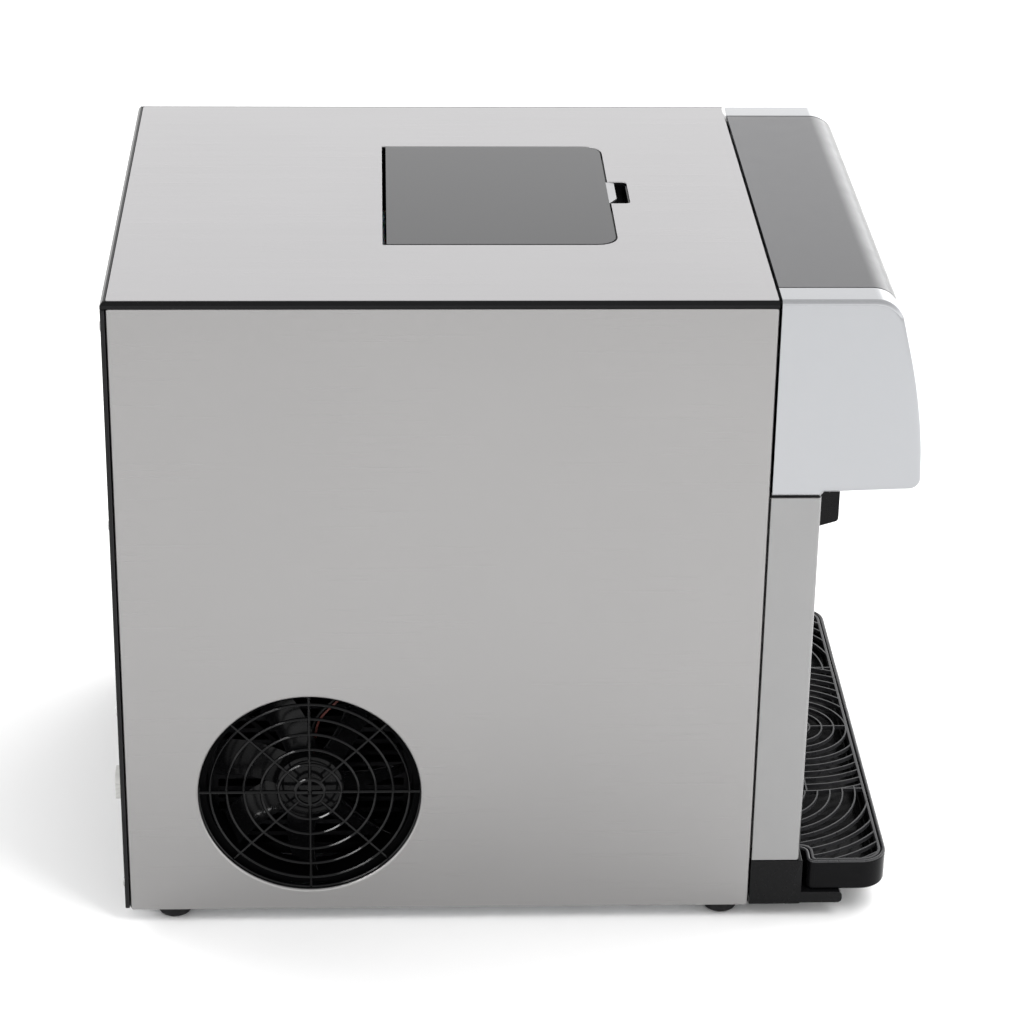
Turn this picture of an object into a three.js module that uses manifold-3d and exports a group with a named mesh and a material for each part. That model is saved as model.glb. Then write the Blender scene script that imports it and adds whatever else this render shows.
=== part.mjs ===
// A countertop ice maker and water dispenser: sheet-metal body, dispenser head, cup bay with a drip tray,
// and the ice-making machinery inside.
// Millimetres. X runs across (the user's left is negative), Y runs from the front edge of the side panels
// (y = 0) to the back, and Z rises from the floor (z = 0). The finished group is centred front to back.

import * as THREE from 'three';
import { mergeVertices } from 'three/addons/utils/BufferGeometryUtils.js';
import Module from 'manifold-3d';

const wasm = await Module();
wasm.setup();

// ---------- Driving dimensions ----------

const gap = 0.3;
const bodyWidth = 360;
const bodyDepth = 400;
const footHeight = 10;
const sideHeight = 417;
const topHeight = 4.8;
const sheetThickness = 1.2;
const mouldThickness = 2.5;

const halfWidth = bodyWidth / 2;
const bodyBottom = footHeight + gap;
const sideTop = footHeight + sideHeight;
const overallTop = sideTop + topHeight;
const innerHalf = halfWidth - sheetThickness - 0.4;

const fan = { y: 283.4, z: 94.6, holeRadius: 70.5, bladeRadius: 63, hubRadius: 22, blades: 7 };
const lid = { left: -85, right: 95, front: 91, back: 233.5, cornerRadius: 12, gap: 0.9, hingeGap: 2.5 };
const lidHinge = { y: 231, z: 429, pinRadius: 1.2 };
const pocket = { left: -12.5, right: 27, front: 77.5, back: 93, depth: 9, cornerRadius: 3 };

const head = { back: -1.2, top: overallTop + 0.4, arcRadius: 400, arcCentreY: 307.5, arcCentreZ: 300 };
const panelHalf = 159;
const panelFootZ = 322;
const columnInner = 163;
const column = { back: -0.7, front: -31.7, bottom: 43.5, top: 302.5 };
const plinth = { back: -0.5, front: -34, top: 43, shelfFront: -61, shelfBottom: 11, shelfTop: 19 };
const lidSeat = 428;
const lidTab = { end: 86.3, drop: 2.6, thickness: 1.6, slant: 10 };
const intake = { rows: 10, slotHeight: 5, slotPitch: 13, firstZ: 40, halfLength: 28, centres: [230, 300] };
const exhaust = { rows: 8, slotHeight: 5, slotPitch: 13, firstZ: 40, halfLength: 32, centres: [-70, 10] };
const tray = { front: -90.4, back: -7.2, half: 178, neckHalf: 161, bottom: 19.3, rim: 41, wall: 2.4 };
const grid = { pitch: 16.8, firstRadius: 4, discRadius: 88, discY: -48, sideX: 85, sideY: -17.6, height: 4 };

const chute = {
  half: 30, front: -66.5, back: -6.9, wall: 2.5, lipZ: 214, heelZ: 196, floorZ: 230, throatY: -32 };
const auger = { z: 258, radius: 21.5, tubeRadius: 24.5, pitch: 42, shaftRadius: 4, front: -4, back: 293.5 };
const leverPivot = { y: -12, z: 207, tilt: 9 };
const bin = { half: 165, front: 14, back: 292, top: 345, shoulder: 272, wall: 3 };
const tank = { half: 165, front: 346, back: 392, bottom: 220, top: 400, wall: 3 };
const suctionDrop = { x: 171.5, y: 319 };
const panRim = 17.6;
const deckZ = 214;
const freezer = { y: 262, z: 392, innerRadius: 26, wall: 2.2, half: 76, rodRadius: 5, rowOffset: 8.5 };
const compressor = { x: 72, y: 262, radius: 58, bottom: 24, top: 158 };
const drain = { x: -140, z: 82 };
const waterIn = { x: 130, z: 170 };
const powerIn = { x: 90, z: 62, halfX: 14, halfZ: 10 };
const nozzle = { x: 46, y: -24, tip: 274, bottom: 276, top: 302.2, radius: 6.5, bore: 3.2 };
const paddle = { half: 24, length: 86, halfThickness: 1.5, barrelRadius: 5 };
const fins = {
  near: -138, far: -104, halfY: 68, bottom: 26, top: 166, count: 15, firstZ: 34, pitch: 8.6, opening: 5.6 };
const pump = { x: -96, z: 52, radius: 24, voluteRadius: 28, front: 52, seam: 60, back: 104 };
const mainsBoard = { face: 150, back: 151.6, front: 30, rear: 150, bottom: 52, top: 172 };

// ---------- Helpers ----------

// A closed solid made from a geometry's positions alone.
function solid(geometry) {
  const bare = geometry.clone();
  bare.deleteAttribute('normal');
  bare.deleteAttribute('uv');
  const merged = mergeVertices(bare, 1e-4);
  const points = new Float32Array(merged.attributes.position.array);
  const triangles = new Uint32Array(merged.index.array);
  return new wasm.Manifold(new wasm.Mesh({ numProp: 3, vertProperties: points, triVerts: triangles }));
}

function geometryOf(manifold) {
  const mesh = manifold.getMesh();
  const geometry = new THREE.BufferGeometry();
  geometry.setAttribute('position', new THREE.BufferAttribute(new Float32Array(mesh.vertProperties), 3));
  geometry.setIndex(new THREE.BufferAttribute(new Uint32Array(mesh.triVerts), 1));
  const flat = geometry.toNonIndexed();
  flat.computeVertexNormals();
  return flat;
}

function join(...geometries) {
  return geometryOf(geometries.map(solid).reduce((sum, next) => sum.add(next)));
}

function cut(base, ...tools) {
  return geometryOf(tools.map(solid).reduce((rest, tool) => rest.subtract(tool), solid(base)));
}

function overlap(first, second) {
  return geometryOf(solid(first).intersect(solid(second)));
}

function box(x0, x1, y0, y1, z0, z1) {
  const geometry = new THREE.BoxGeometry(x1 - x0, y1 - y0, z1 - z0);
  return geometry.translate((x0 + x1) / 2, (y0 + y1) / 2, (z0 + z1) / 2);
}

// An outline through corners [u, v, radius], each corner rounded by an arc of its own radius.
function outline(corners) {
  const path = new THREE.Shape();
  const count = corners.length;
  corners.forEach(([u, v, radius = 0], i) => {
    const corner = new THREE.Vector2(u, v);
    const before = new THREE.Vector2(...corners[(i + count - 1) % count]).sub(corner).normalize();
    const after = new THREE.Vector2(...corners[(i + 1) % count]).sub(corner).normalize();
    const halfAngle = Math.acos(THREE.MathUtils.clamp(before.dot(after), -1, 1)) / 2;
    const reach = radius / Math.tan(halfAngle);
    const start = corner.clone().addScaledVector(before, reach);
    const end = corner.clone().addScaledVector(after, reach);
    if (i === 0) path.moveTo(start.x, start.y);
    else path.lineTo(start.x, start.y);
    if (radius > 0) {
      const centre = before.clone().add(after).normalize().multiplyScalar(radius / Math.sin(halfAngle));
      centre.add(corner);
      const from = Math.atan2(start.y - centre.y, start.x - centre.x);
      const to = Math.atan2(end.y - centre.y, end.x - centre.x);
      const turnsClockwise = before.cross(after) > 0;
      path.absarc(centre.x, centre.y, radius, from, to, turnsClockwise);
    }
  });
  path.closePath();
  return path;
}

function rectangle(u0, u1, v0, v1, radius = 0) {
  return [[u0, v0, radius], [u1, v0, radius], [u1, v1, radius], [u0, v1, radius]];
}

// Prisms: the outline is drawn in (y, z) for X, in (x, z) for Y and in (x, y) for Z.
function prismX(corners, from, to, steps = 4) {
  const geometry = extrude(corners, to - from, steps);
  const toYZ = new THREE.Matrix4().set(0, 0, 1, from, 1, 0, 0, 0, 0, 1, 0, 0, 0, 0, 0, 1);
  return geometry.applyMatrix4(toYZ);
}

function prismY(corners, from, to, steps = 4) {
  const geometry = extrude(corners, to - from, steps);
  const toXZ = new THREE.Matrix4().set(1, 0, 0, 0, 0, 0, -1, to, 0, 1, 0, 0, 0, 0, 0, 1);
  return geometry.applyMatrix4(toXZ);
}

function prismZ(corners, from, to, steps = 4) {
  return extrude(corners, to - from, steps).translate(0, 0, from);
}

function extrude(corners, depth, steps) {
  return new THREE.ExtrudeGeometry(outline(corners), { depth, bevelEnabled: false, curveSegments: steps });
}

// Round bars along an axis, through (u, v) in the same planes as the prisms.
function rod(axis, radius, from, to, u, v, sides = 20) {
  const geometry = new THREE.CylinderGeometry(radius, radius, to - from, sides);
  const middle = (from + to) / 2;
  if (axis === 'x') return geometry.rotateZ(-Math.PI / 2).translate(middle, u, v);
  if (axis === 'y') return geometry.translate(u, middle, v);
  return geometry.rotateX(Math.PI / 2).translate(u, v, middle);
}

// A ring turned about X, Y or Z, of rectangular section.
function ring(axis, inner, outer, from, to, u, v, sides = 32) {
  const section = [[inner, 0], [outer, 0], [outer, to - from], [inner, to - from], [inner, 0]];
  const turned = new THREE.LatheGeometry(section.map((p) => new THREE.Vector2(...p)), sides);
  if (axis === 'x') return turned.rotateZ(-Math.PI / 2).translate(from, u, v);
  if (axis === 'y') return turned.translate(u, from, v);
  return turned.rotateX(Math.PI / 2).translate(u, v, from);
}

// A turned body on a vertical axis, from (radius, height) points that start and end on the axis.
function turned(points, x, y, sides = 24) {
  const profile = points.map((p) => new THREE.Vector2(...p));
  return new THREE.LatheGeometry(profile, sides).rotateX(Math.PI / 2).translate(x, y, 0);
}

// A round tube or wire of the given radius along a smooth curve through points.
function pipe(points, radius, steps, sides = 8) {
  const route = new THREE.CatmullRomCurve3(points.map((p) => new THREE.Vector3(...p)), false, 'centripetal');
  const section = new THREE.Shape();
  section.absarc(0, 0, radius, 0, 2 * Math.PI);
  const options = { steps, extrudePath: route, curveSegments: sides / 2, bevelEnabled: false };
  return new THREE.ExtrudeGeometry(section, options);
}

// ---------- Body shell ----------

function sidePanelBlank(side) {
  const skin = box(halfWidth - sheetThickness, halfWidth, 0, bodyDepth, footHeight, sideTop);
  const flangeReach = halfWidth - 10;
  const frontFlange = box(flangeReach, halfWidth - 0.5, 0, sheetThickness, footHeight, sideTop);
  const backFlange = frontFlange.clone().translate(0, bodyDepth - sheetThickness, 0);
  const panel = join(skin, frontFlange, backFlange);
  return side > 0 ? panel : panel.rotateZ(Math.PI).translate(0, bodyDepth, 0);
}

function leftSidePanel() {
  return cut(sidePanelBlank(-1), rod('x', fan.holeRadius, -halfWidth - 5, -innerHalf + 5, fan.y, fan.z, 64));
}

function rightSidePanel() {
  const { rows, slotHeight, slotPitch, firstZ, halfLength, centres } = intake;
  const slots = [];
  for (const y of centres) {
    for (let row = 0; row < rows; row += 1) {
      const z = firstZ + row * slotPitch;
      slots.push(box(innerHalf - 5, halfWidth + 5, y - halfLength, y + halfLength, z, z + slotHeight));
    }
  }
  return cut(sidePanelBlank(1), ...slots);
}

function lidOutline(grow, rearGrow = grow) {
  const { left, right, front, back, cornerRadius } = lid;
  const radius = Math.max(cornerRadius + grow, 1);
  return [
    [left - grow, front - grow, radius],
    [right + grow, front - grow, radius],
    [right + grow, back + rearGrow, 0.5],
    [left - grow, back + rearGrow, 0.5],
  ];
}

function pocketOutline(grow) {
  const { left, right, front, back, cornerRadius } = pocket;
  return rectangle(left - grow, right + grow, front - grow, back + grow, cornerRadius + grow);
}

function topPanel() {
  const sheet = box(-halfWidth + 2.3, halfWidth - 2.3, 1.3, bodyDepth - 0.3, overallTop - 1.2, overallTop);
  const lidHole = prismZ(lidOutline(lid.gap, lid.hingeGap), overallTop - 5, overallTop + 5, 5);
  const fingerHole = prismZ(pocketOutline(0), overallTop - 5, overallTop + 5);
  return cut(sheet, lidHole, fingerHole);
}

// The black frame under the top sheet: chamfered rim, skirt inside the side panels, lid well and
// finger pocket.
function topFrame() {
  const back = bodyDepth + 3;
  const low = sideTop + gap;
  const chamferZ = low + 2.2;
  const acrossX = prismY([
    [-halfWidth, low], [halfWidth, low], [halfWidth, chamferZ], [halfWidth - 1.8, overallTop],
    [-halfWidth + 1.8, overallTop], [-halfWidth, chamferZ]], 0.3, back);
  const alongY = prismX([
    [0.3, low], [back, low], [back, chamferZ], [back - 1.8, overallTop], [0.3, overallTop]],
  -halfWidth, halfWidth);
  const plate = overlap(acrossX, alongY);
  const sheetBed = box(-halfWidth + 2, halfWidth - 2, 1, bodyDepth, overallTop - 1.5, overallTop + 5);
  const skirtOuter = box(-innerHalf, innerHalf, 1.6, bodyDepth - 1.6, sideTop - 8, low + 1);
  const skirtInner = box(-innerHalf + mouldThickness, innerHalf - mouldThickness, 4, bodyDepth - 4, 0, low);
  const collarOutline = lidOutline(lid.gap + mouldThickness, lid.hingeGap + mouldThickness);
  const collar = prismZ(collarOutline, lidSeat - 14, low + 1, 5);
  const cup = prismZ(pocketOutline(2), overallTop - pocket.depth - 2, low + 1);
  const well = prismZ(lidOutline(lid.gap, lid.hingeGap), lidSeat, overallTop + 5, 5);
  const hatchWay = prismZ([
    [lid.left + 4, lid.front + 4, 8], [lid.right - 4, lid.front + 4, 8],
    [lid.right - 4, lid.back + lid.hingeGap, 0.5],
    [lid.left + 4, lid.back + lid.hingeGap, 0.5]], 400, 440, 5);
  const fingerHollow = prismZ(pocketOutline(0), overallTop - pocket.depth, overallTop + 5);
  const pinBed = rod('x', lidHinge.pinRadius + gap, lid.left - 4, lid.right + 4, lidHinge.y, lidHinge.z, 12);
  const barrelBed = box(lid.left - lid.gap, lid.right + lid.gap, lidHinge.y - 3.5, lid.back + lid.hingeGap,
    lidSeat - 4, 440);
  const rim = cut(plate, sheetBed);
  const skirt = cut(skirtOuter, skirtInner);
  return cut(join(rim, skirt, collar, cup), well, hatchWay, fingerHollow, pinBed, barrelBed);
}

function hatchLid() {
  const { left, right, front, back } = lid;
  const low = overallTop - 2.2;
  const plate = prismZ(lidOutline(0), low, overallTop, 5);
  const rimOuter = prismZ(lidOutline(0), lidSeat + 0.2, low + 1, 5);
  const rimInner = prismZ(lidOutline(-1.8), 420, low, 5);
  const rim = cut(rimOuter, rimInner);
  const barrel = rod('x', 2.7, left, right, lidHinge.y, lidHinge.z, 20);
  const bore = rod('x', lidHinge.pinRadius + gap, left - 5, right + 5, lidHinge.y, lidHinge.z, 12);
  const { end, drop, thickness, slant } = lidTab;
  const tabLeft = pocket.left + 0.4;
  const tabRight = pocket.right - 0.4;
  const slope = prismX([
    [front + 1, overallTop], [end, overallTop - drop], [end, overallTop - drop - thickness],
    [front + 1, low]], tabLeft, tabRight);
  const tabPlan = prismZ([
    [tabLeft, front + 2], [tabLeft, front], [tabLeft + slant, end - 1], [tabRight, end - 1],
    [tabRight, front + 2]], 400, 440);
  const body = join(plate, rim, barrel, overlap(slope, tabPlan));
  return cut(body, bore, box(left - 1, right + 1, back, back + 10, 400, 440));
}

function hatchHingePin() {
  return rod('x', lidHinge.pinRadius, lid.left - 3.6, lid.right + 3.6, lidHinge.y, lidHinge.z, 12);
}

function rearPanel() {
  const sheet = box(-halfWidth, halfWidth, bodyDepth + gap, bodyDepth + 3, bodyBottom, sideTop);
  const tools = [
    box(powerIn.x - powerIn.halfX - 0.5, powerIn.x + powerIn.halfX + 0.5, 395, 410,
      powerIn.z - powerIn.halfZ - 0.5, powerIn.z + powerIn.halfZ + 0.5),
    rod('y', 9, 395, 410, waterIn.x, waterIn.z, 20),
    rod('y', 7.3, 395, 410, drain.x, drain.z, 20),
  ];
  const { rows, slotHeight, slotPitch, firstZ, halfLength, centres } = exhaust;
  for (let row = 0; row < rows; row += 1) {
    for (const x of centres) {
      const z = firstZ + row * slotPitch;
      tools.push(box(x - halfLength, x + halfLength, 395, 410, z, z + slotHeight));
    }
  }
  return cut(sheet, ...tools);
}

function basePan() {
  const outer = box(-innerHalf, innerHalf, 1.6, bodyDepth - 1.6, bodyBottom, panRim);
  const inner = box(-innerHalf + 1.5, innerHalf - 1.5, 3.1, bodyDepth - 3.1, bodyBottom + 1.5, 40);
  return cut(outer, inner);
}

function midDeck() {
  const plate = box(-innerHalf, innerHalf, 5.7, bodyDepth - 1.6, deckZ, deckZ + 2);
  const frontLip = box(-innerHalf, innerHalf, 5.7, 7.2, deckZ - 12, deckZ + 0.5);
  const backLip = frontLip.clone().translate(0, bodyDepth - 1.6 - 7.2, 0);
  const pipeHole = rod('z', 4.5, deckZ - 5, deckZ + 5, suctionDrop.x, suctionDrop.y, 12);
  const drainHole = rod('z', 6, deckZ - 5, deckZ + 5, 0, 370, 12);
  return cut(join(plate, frontLip, backLip), pipeHole, drainHole);
}

function frontBulkhead() {
  const sheet = box(-innerHalf, innerHalf, 1.6, 2.8, panRim + gap, sideTop - 10);
  const augerHole = rod('y', auger.tubeRadius + mouldThickness + 0.5, 0, 10, 0, auger.z, 32);
  const cableHole = box(-60, 60, 0, 10, 345, 380);
  return cut(sheet, augerHole, cableHole);
}

function foot(x, y) {
  const profile = [[0, 0], [8.4, 0], [11.2, 2], [12, 6], [11.5, footHeight], [0, footHeight]];
  return turned(profile, x, y, 16);
}

// ---------- Front: plinth, columns, splash panel, drip tray ----------

function frontBase() {
  const shelf = prismX([
    [plinth.back, plinth.shelfBottom, 0], [plinth.shelfFront, plinth.shelfBottom, 3],
    [plinth.shelfFront, plinth.shelfTop, 3], [plinth.back, plinth.shelfTop, 0]], -halfWidth, halfWidth);
  const block = prismX([
    [plinth.back, bodyBottom, 0], [plinth.front, bodyBottom, 1.5], [plinth.front, plinth.top, 1],
    [plinth.back, plinth.top, 0]], -halfWidth, halfWidth);
  const trayBay = box(-columnInner, columnInner, -60, tray.back + 0.7, plinth.shelfTop, 60);
  const rearHollow = box(-150, 150, -4, 0, 14, 38);
  return cut(join(shelf, block), trayBay, rearHollow);
}

function frontColumn(side) {
  const x0 = side > 0 ? columnInner : -halfWidth;
  const x1 = side > 0 ? halfWidth : -columnInner;
  const corners = [
    [x0, column.back, 0.5], [x0, column.front, 2.5], [x1, column.front, 2.5], [x1, column.back, 0.5]];
  const post = prismZ(corners, column.bottom, column.top);
  const hollow = box(x0 + 2, x1 - 2, column.front + 2, 5, column.bottom - 5, column.top - 2);
  return cut(post, hollow);
}

function splashPanel() {
  const sheet = box(-columnInner + gap, columnInner - gap, -6.5, -3.5, 43.3, column.top);
  const augerHole = rod('y', auger.tubeRadius + mouldThickness + 0.5, -10, 0, 0, auger.z, 32);
  return cut(sheet, augerHole);
}

// The tray's plan: a narrow neck between the columns and a wide front part with rounded corners.
function trayPlan(inset) {
  const wide = tray.half - inset;
  const neck = tray.neckHalf - inset;
  const front = tray.front + inset;
  const back = tray.back - inset;
  const stepY = -37.6 - inset;
  const inward = 5 + inset * 0.4;
  const outward = Math.max(5 - inset, 1.5);
  return [
    [neck, back, 4], [-neck, back, 4], [-neck, stepY, inward], [-wide, stepY, outward],
    [-wide, front, 18 - inset], [wide, front, 18 - inset], [wide, stepY, outward], [neck, stepY, inward]];
}

function dripTray() {
  const outer = prismZ(trayPlan(0), tray.bottom, tray.rim, 4);
  const inner = prismZ(trayPlan(tray.wall), tray.bottom + 2, tray.rim + 5, 4);
  return cut(outer, inner);
}

// The grid in its frame. Its ribs stand a wide pitch apart here, and every second one is a finishing detail.
function dripGrid() {
  const top = tray.rim - 0.4;
  const low = top - grid.height;
  const outer = solid(prismZ(trayPlan(tray.wall + gap), low, top, 4));
  const inner = solid(prismZ(trayPlan(tray.wall + gap + 2.6), low - 5, top + 5, 4));
  const frame = outer.subtract(inner);
  const rib = 1.2;
  const discSides = 30;
  const ribLow = top - 2.6;
  const bars = (radius, x, y, sides = Math.round(11 + radius / 6)) => (
    solid(ring('z', radius - rib / 2, radius + rib / 2, ribLow, top, x, y, sides)));
  const disc = solid(rod('z', grid.discRadius, low - 5, top + 5, 0, grid.discY, discSides));
  const union = (solids) => solids.reduce((sum, next) => sum.add(next));
  const centre = [bars(grid.discRadius, 0, grid.discY, discSides)];
  const sides = [];
  const centreRings = Math.floor((grid.discRadius - grid.firstRadius) / grid.pitch);
  for (let k = 1; k < centreRings; k += 1) {
    centre.push(bars(grid.firstRadius + grid.pitch * k, 0, grid.discY));
  }
  centre.push(solid(box(-rib / 2, rib / 2, tray.front, tray.back, ribLow, top)));
  const crossHalf = grid.discRadius - rib / 2;
  centre.push(solid(box(-crossHalf, crossHalf, grid.discY - rib / 2, grid.discY + rib / 2, ribLow, top)));
  for (const side of [-1, 1]) {
    for (let k = 1; k < 7; k += 1) {
      sides.push(bars(grid.firstRadius + grid.pitch * k, side * grid.sideX, grid.sideY));
    }
    const ribX = side * grid.sideX;
    sides.push(solid(box(ribX - rib / 2, ribX + rib / 2, tray.front, tray.back, ribLow, top)));
  }
  const reach = solid(prismZ(trayPlan(tray.wall + gap + 1.3), low - 5, top + 5, 4));
  const pattern = union(centre).add(union(sides).subtract(disc)).intersect(reach);
  return geometryOf(frame.add(pattern));
}

// ---------- Dispenser head ----------

function headArcY(z) {
  const { arcRadius, arcCentreY, arcCentreZ } = head;
  return arcCentreY - Math.sqrt(arcRadius ** 2 - (z - arcCentreZ) ** 2);
}

// Side profile of the head in (y, z), drawn a given distance inside the outer skin.
function headProfile(inset, back = head.back - inset) {
  const top = head.top - inset;
  const front = (z) => headArcY(z) + inset;
  const corners = [[back, top, 0], [front(420) + 2.2, top, Math.max(18 - inset, 3)]];
  for (let z = 398; z > 325; z -= 18) corners.push([front(z), z, 0]);
  const keel = 307.6 + inset;
  corners.push([front(312), keel, Math.max(7 - inset, 2)]);
  const stepShift = inset / 2;
  corners.push([-33 + stepShift, 305.6 + inset, 0], [-31 + stepShift, 303 + inset, 0]);
  corners.push([back, 303 + inset, 0]);
  return corners;
}

// Puts a piece made at the foot of the front arc (y = -92.5, z = 300) up the arc by an angle in degrees.
function upFront(geometry, degrees) {
  const { arcCentreY, arcCentreZ } = head;
  geometry.translate(0, -arcCentreY, -arcCentreZ);
  geometry.rotateX(-THREE.MathUtils.degToRad(degrees));
  return geometry.translate(0, arcCentreY, arcCentreZ);
}

const arcFoot = head.arcCentreY - head.arcRadius;
const buttonAngle = 7.5;
const windowAngle = 12;
const buttonSpots = [-63, -21, 21, 63];
const buttonRadius = 8;
const windowHalfX = 36;
const windowHalfZ = 13;

function buttonHole(x) {
  const hole = rod('y', buttonRadius + 0.4, arcFoot - 10, arcFoot + 10, x, head.arcCentreZ, 18);
  return upFront(hole, buttonAngle);
}

function windowBlock(grow, near, far) {
  const { arcCentreZ } = head;
  const flat = prismY(rectangle(-windowHalfX - grow, windowHalfX + grow, arcCentreZ - windowHalfZ - grow,
    arcCentreZ + windowHalfZ + grow, 3), arcFoot + near, arcFoot + far);
  return upFront(flat, windowAngle);
}

function headHousing() {
  const skin = new THREE.ExtrudeGeometry(outline(headProfile(3.5, head.back)), {
    depth: bodyWidth - 7, bevelEnabled: true, bevelThickness: 3.5, bevelSize: 3.5, bevelSegments: 2,
    curveSegments: 4 });
  const toYZ = new THREE.Matrix4().set(0, 0, 1, 3.5 - halfWidth, 1, 0, 0, 0, 0, 1, 0, 0, 0, 0, 0, 1);
  const rounded = overlap(skin.applyMatrix4(toYZ), box(-200, 200, -120, head.back, 290, 450));
  const hollow = prismX(headProfile(5.2, 5), -halfWidth + 3, halfWidth - 3);
  const bed = panelBlank(panelHalf, 2.5, 5, panelFootZ);
  const holes = buttonSpots.map(buttonHole);
  return cut(rounded, hollow, bed, windowBlock(-2, -5, 12), ...holes);
}

// The wrap-over strip between the outer skin and a parallel surface below it.
function panelBlank(half, depth, back, foot) {
  const outer = prismX(headProfile(-1, 5), -half, half, 6);
  const inner = prismX(headProfile(depth, 5), -half - 5, half + 5, 6);
  return overlap(cut(outer, inner), box(-half, half, -120, back, foot, 450));
}

function controlPanel() {
  const half = panelHalf - gap;
  const outer = prismX(headProfile(0, 5), -half, half, 6);
  const inner = prismX(headProfile(2.1, 5), -half - 5, half + 5, 6);
  const strip = overlap(cut(outer, inner), box(-half, half, -120, head.back - 0.4, panelFootZ + gap, 450));
  const holes = buttonSpots.map(buttonHole);
  return cut(strip, windowBlock(0.3, -5, 12), ...holes);
}

function lcdWindow() {
  return windowBlock(0, 0.3, 1.9);
}

function button(x) {
  const cap = rod('y', buttonRadius, arcFoot - 0.6, arcFoot + 7, x, head.arcCentreZ, 18);
  const flange = rod('y', buttonRadius + 1.4, arcFoot + 6.2, arcFoot + 7.4, x, head.arcCentreZ, 18);
  return upFront(join(cap, flange), buttonAngle);
}

function controlBoard() {
  const board = box(-90, 90, arcFoot + 12, arcFoot + 13.6, 322, 396);
  const chip = box(-20, 15, arcFoot + 13.4, arcFoot + 17, 340, 362);
  const socket = box(40, 70, arcFoot + 13.4, arcFoot + 22, 330, 342);
  return join(board, chip, socket).translate(0, 6, 0);
}

// ---------- Dispensing ----------

// Ice duct in the cup bay: closed front and sides, a sloping floor behind the mouth, open to the auger tube.
function iceChute() {
  const { half, front, back, wall, lipZ, heelZ, floorZ, throatY } = chute;
  const side = [[back, heelZ, 0], [front, lipZ, 3], [front, 306.3, 0], [-33.5, 305.2, 0], [-31.6, 302.6, 0],
    [back, 302.6, 0]];
  const block = prismX(side, -half, half);
  const duct = prismX([
    [back + 5, floorZ + 4], [back, floorZ], [throatY, 204], [throatY, 180], [front + wall, 180],
    [front + wall, 299.5], [back + 5, 299.5]], -half + wall, half - wall);
  const under = prismX([
    [back + 5, floorZ - 5], [back, floorZ - 3.4], [throatY - wall, 201.5], [throatY - wall, 180],
    [back + 5, 180]], -half + wall, half - wall);
  const pinHole = rod('x', 2.5 + gap, -half - 5, half + 5, leverPivot.y, leverPivot.z, 12);
  return cut(block, duct, under, pinHole);
}

function leverPin() {
  return rod('x', 2.5, -chute.half - 1, chute.half + 1, leverPivot.y, leverPivot.z, 12);
}

// The paddle a cup pushes back, hanging from its pin under the chute floor.
function dispenseLever() {
  const { half, length, halfThickness, barrelRadius } = paddle;
  const { y, z, tilt } = leverPivot;
  const front = y - halfThickness;
  const back = y + halfThickness;
  const low = z - length;
  const barrel = rod('x', barrelRadius, -half, half, y, z, 16);
  const blade = prismX([[front, z], [back, z], [back, low, 1.4], [front, low, 1.4]], -half, half);
  const curl = prismX([
    [back, low + 12], [front, low + 12], [front - 3, low - 2, 1.2],
    [front + 0.3, low - 3, 1.2]], -half, half);
  const bore = rod('x', 2.5 + gap, -half - 5, half + 5, y, z, 12);
  const body = cut(join(barrel, blade, curl), bore);
  body.translate(0, -y, -z).rotateX(-THREE.MathUtils.degToRad(tilt));
  return body.translate(0, y, z);
}

function leverSwitch() {
  return join(box(-10, 10, 6, 16, 176, 192), box(-1.5, 1.5, 15, 20, 180, 188));
}

function waterNozzle() {
  const { x, y, tip, bottom, top, radius, bore } = nozzle;
  const body = [[0, bottom], [radius - 1.5, bottom], [radius, bottom + 6], [radius, top], [0, top]];
  const hole = [[0, tip], [bore, tip], [bore, tip + 12], [0, tip + 12]];
  return cut(turned(body, x, y, 16), turned(hole, x, y, 12));
}

function augerScrew() {
  const { front, back, radius, pitch, shaftRadius, z } = auger;
  const stepsPerTurn = 10;
  const flightBack = bin.back - 8;
  const turns = (flightBack - front) / pitch;
  const steps = Math.round(turns * stepsPerTurn);
  const points = [];
  for (let i = 0; i <= steps; i += 1) {
    const angle = (2 * Math.PI * i) / stepsPerTurn;
    const y = front + 1.5 + ((flightBack - front - 3) * i) / steps;
    for (const [r, dy] of [[shaftRadius - 1, -1.2], [radius, -1.2], [radius, 1.2], [shaftRadius - 1, 1.2]]) {
      points.push(r * Math.cos(angle), y + dy, z + r * Math.sin(angle));
    }
  }
  const faces = [0, 2, 1, 0, 3, 2];
  for (let i = 0; i < steps; i += 1) {
    for (let k = 0; k < 4; k += 1) {
      const a = 4 * i + k;
      const b = 4 * i + ((k + 1) % 4);
      faces.push(a, b, a + 4, b, b + 4, a + 4);
    }
  }
  const end = 4 * steps;
  faces.push(end, end + 1, end + 2, end, end + 2, end + 3);
  const flight = new THREE.BufferGeometry();
  flight.setAttribute('position', new THREE.BufferAttribute(new Float32Array(points), 3));
  flight.setIndex(faces);
  return join(flight, rod('y', shaftRadius, front, back, 0, z, 16));
}

// ---------- Ice and water compartment ----------

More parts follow.
